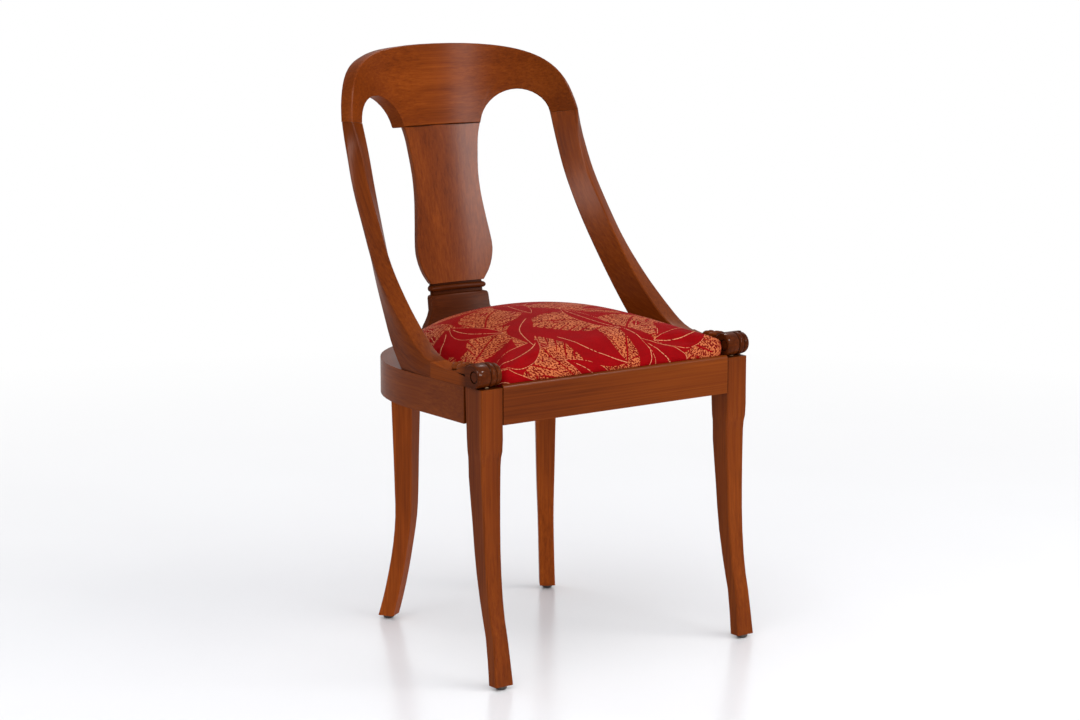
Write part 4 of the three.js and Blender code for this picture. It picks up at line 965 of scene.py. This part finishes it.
def filled(piece):
    """Swells a pad as its filling does: cloth under pressure, held below the rail's top."""
    seat_middle = place(0.0, MIDDLE_DEPTH, 0.0)
    spots = [vertex.co.copy() for vertex in piece.data.vertices]
    low = [i for i, spot in enumerate(spots) if spot.z < FRONT_RAIL_TOP + HELD_ABOVE]
    piece.vertex_groups.new(name="held").add(low, 1.0, "REPLACE")
    cover = piece.modifiers.new("filling", "CLOTH").settings
    cover.use_pressure = True
    cover.uniform_pressure_force = FILL_PRESSURE
    cover.tension_stiffness = COVER_STIFFNESS
    cover.compression_stiffness = COVER_STIFFNESS
    cover.shear_stiffness = COVER_SHEAR
    cover.vertex_group_mass = "held"
    cover.effector_weights.gravity = 0.0
    for number in range(1, FILL_FRAMES + 1):
        bpy.context.scene.frame_set(number)
    swollen = shaped(piece).to_mesh()
    for vertex, spot, reached in zip(piece.data.vertices, spots, swollen.vertices):
        move = reached.co - spot
        outward = Vector((spot.x, spot.y - seat_middle.y, 0.0)).normalized()
        move -= outward * max(move.dot(outward) - SPREAD_CAP, 0.0)
        if move.length > SWELL_CAP:
            move *= SWELL_CAP / move.length
        vertex.co = spot + move
    piece.modifiers.clear()
    piece.vertex_groups.clear()
    bpy.context.scene.frame_set(1)


def rounded(piece):
    """Adds one subdivision to a piece's own mesh."""
    piece.modifiers.new("rounding", "SUBSURF").levels = 1
    piece.data = bpy.data.meshes.new_from_object(shaped(piece))
    piece.modifiers.clear()


def pulled(piece):
    """Lays the shallow pulls of a tight cover, fanning out of its front corners."""
    for vertex in piece.data.vertices:
        spot = vertex.co
        if spot.z < FRONT_RAIL_TOP + HELD_ABOVE:
            continue
        side = 1.0 if spot.x > 0 else -1.0
        corner = place(side * NARROW, PLAN_FRONT, 0.0)
        arm = Vector((side * (corner.x - spot.x), spot.y - corner.y))
        reach = arm.length / PULL_REACH
        if reach >= 1.0:
            continue
        turn = math.atan2(arm.y, arm.x) + PULL_LEAN * side
        strength = reach * (1.0 - reach) ** 2 * PULL_SHAPE
        vertex.co.z += math.cos(turn * PULL_COUNT) * strength * PULL_HEIGHT


seat_cushion = cushion()
evened(seat_cushion)
filled(seat_cushion)
rounded(seat_cushion)
pulled(seat_cushion)
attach(seat_cushion, "root")
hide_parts("seat_cover", "seat_foam")

# Floor: pale and faintly glossy, running out into the white background
FLOOR_SIZE = 14.0
FLOOR_TONES = ((0.88, 0.875, 0.885), (0.91, 0.905, 0.915))
FADE_START = 0.5
FADE_END = 2.5


def looked_at(graph):
    """1 for a ray from the camera, gloss or glass, and 0 for one that gathers light."""
    path = graph.node("ShaderNodeLightPath").outputs
    seen = graph.math("MAXIMUM", path["Is Camera Ray"], path["Is Glossy Ray"])
    return graph.math("MAXIMUM", seen, path["Is Transmission Ray"])


def pale_floor():
    """The floor's surface, which glows white far out where it is looked at."""
    material, graph, surface = new_material("pale_floor")
    spot = object_place(graph)
    cloud = graph.noise(spot, 1.3)
    graph.fill(surface, {
        "Base Color": graph.ramp(cloud, (0.3, 0.7), FLOOR_TONES),
        "Roughness": graph.span(cloud, 0.3, 0.7, 0.2, 0.25),
        "Specular IOR Level": 0.4,
    })
    far = graph.span(graph.vector("LENGTH", spot), FADE_START, FADE_END)
    glow = graph.node("ShaderNodeEmission")
    graph.fill(glow, {"Color": (*WHITE, 1.0), "Strength": 1.0})
    faded = graph.node("ShaderNodeMixShader")
    graph.feed(faded.inputs[0], graph.times(far, looked_at(graph)))
    graph.feed(faded.inputs[1], surface.outputs[0])
    graph.feed(faded.inputs[2], glow.outputs[0])
    graph.feed(graph.tree.nodes["Material Output"].inputs["Surface"], faded.outputs[0])
    return material


bpy.ops.mesh.primitive_grid_add(x_subdivisions=8, y_subdivisions=8, size=FLOOR_SIZE)
floor = bpy.context.object
floor.name = "floor"
floor.data.materials.append(pale_floor())

# Light: a soft fill all round, which looks white where it is seen
FILL_COLOUR = (0.93, 0.95, 1.0, 1.0)
FILL_STRENGTH = 0.64

scene = bpy.context.scene
world = bpy.data.worlds.new("studio")
scene.world = world
world.use_nodes = True
sky = Graph(world.node_tree)
sky.tree.nodes.clear()
fill_light = sky.node("ShaderNodeBackground")
sky.fill(fill_light, {"Color": FILL_COLOUR, "Strength": FILL_STRENGTH})
white = sky.node("ShaderNodeBackground")
sky.fill(white, {"Color": (*WHITE, 1.0), "Strength": 1.0})
chosen = sky.node("ShaderNodeMixShader")
sky.feed(chosen.inputs[0], looked_at(sky))
sky.feed(chosen.inputs[1], fill_light.outputs[0])
sky.feed(chosen.inputs[2], white.outputs[0])
sky.feed(sky.node("ShaderNodeOutputWorld").inputs[0], chosen.outputs[0])


def soft_box(name, location, aim, size, power, colour=WHITE, lights=True, mirrored=True):
    """A lamp that lights, is mirrored in gloss, or both."""
    data = bpy.data.lights.new(name, "AREA")
    data.shape = "RECTANGLE"
    data.size, data.size_y = size
    data.energy = power
    data.color = colour
    lamp = bpy.data.objects.new(name, data)
    scene.collection.objects.link(lamp)
    lamp.location = location
    lamp.rotation_euler = (Vector(aim) - Vector(location)).to_track_quat("-Z", "Y").to_euler()
    lamp.visible_camera = False
    lamp.visible_diffuse = lights
    lamp.visible_glossy = mirrored


# What the lamps are aimed at, and their tints
CHAIR = (0.0, 0.0, 0.5)
LEGS = (0.0, 0.0, 0.25)
LEFT_FLOOR = (-0.6, -0.4, 0.0)
BACK_LEFT = (0.2, 0.1, 0.62)
BACK_RIGHT = (0.0, 0.18, 0.66)
SCROLLS = (0.0, -0.25, 0.46)
WARM = (1.0, 0.97, 0.93)
COOL = (0.93, 0.96, 1.0)

# The boxes light the chair and its floor. The sheens and glints show in its gloss alone: broad
# ones on the back, and small ones on the scrolls.
soft_box("key_box", (3.3, -3.6, 3.1), CHAIR, (1.95, 2.7), 80.0, WARM, mirrored=False)
soft_box("front_box", (0.9, -2.7, 2.0), CHAIR, (0.9, 1.5), 20.0, mirrored=False)
soft_box("right_sheen", (0.84, -2.6, 1.42), BACK_RIGHT, (0.7, 0.6), 70.0, lights=False)
soft_box("left_sheen", (-1.9, -0.85, 1.8), BACK_LEFT, (0.8, 0.6), 42.0, lights=False)
soft_box("fill_box", (-2.8, -1.6, 1.7), CHAIR, (1.8, 1.8), 3.0, COOL, mirrored=False)
soft_box("front_glint", (1.48, -1.9, 2.3), SCROLLS, (0.35, 0.25), 50.0, lights=False)
soft_box("top_glint", (1.5, 0.92, 2.23), SCROLLS, (0.3, 0.18), 24.0, lights=False)
soft_box("low_box", (-0.6, -3.2, 0.6), LEGS, (2.0, 0.7), 22.0, mirrored=False)
soft_box("top_box", (-1.3, -0.9, 3.2), LEFT_FLOOR, (2.6, 2.6), 35.0, mirrored=False)
soft_box("back_box", (1.4, 2.8, 1.5), CHAIR, (1.6, 1.6), 8.0, mirrored=False)
soft_box("rim_box", (-1.2, 2.2, 2.2), CHAIR, (0.5, 0.9), 4.0)

# Camera at the photograph's place: its turn from the chair's depth and its fall, in radians
CAMERA_PLACE = place(-2211.735, -2862.25, 1091.59)
CAMERA_TURN = 0.6263960616
CAMERA_FALL = 0.1768506205
FOCAL_PIXELS = 2557.785
PHOTO_WIDTH = 1080.0
SENSOR = 36.0
FARTHEST = 60.0

camera_data = bpy.data.cameras.new("photo_camera")
camera_data.sensor_fit = "HORIZONTAL"
camera_data.sensor_width = SENSOR
camera_data.lens = FOCAL_PIXELS * SENSOR / PHOTO_WIDTH
camera_data.clip_end = FARTHEST
camera = bpy.data.objects.new("photo_camera", camera_data)
scene.collection.objects.link(camera)
camera.location = CAMERA_PLACE
sight = Vector((
    math.sin(CAMERA_TURN) * math.cos(CAMERA_FALL),
    math.cos(CAMERA_TURN) * math.cos(CAMERA_FALL),
    -math.sin(CAMERA_FALL),
))
across = Vector((math.cos(CAMERA_TURN), -math.sin(CAMERA_TURN), 0.0))
camera.rotation_euler = Matrix((across, across.cross(sight), -sight)).transposed().to_euler()
scene.camera = camera
scene.view_settings.view_transform = "Standard"
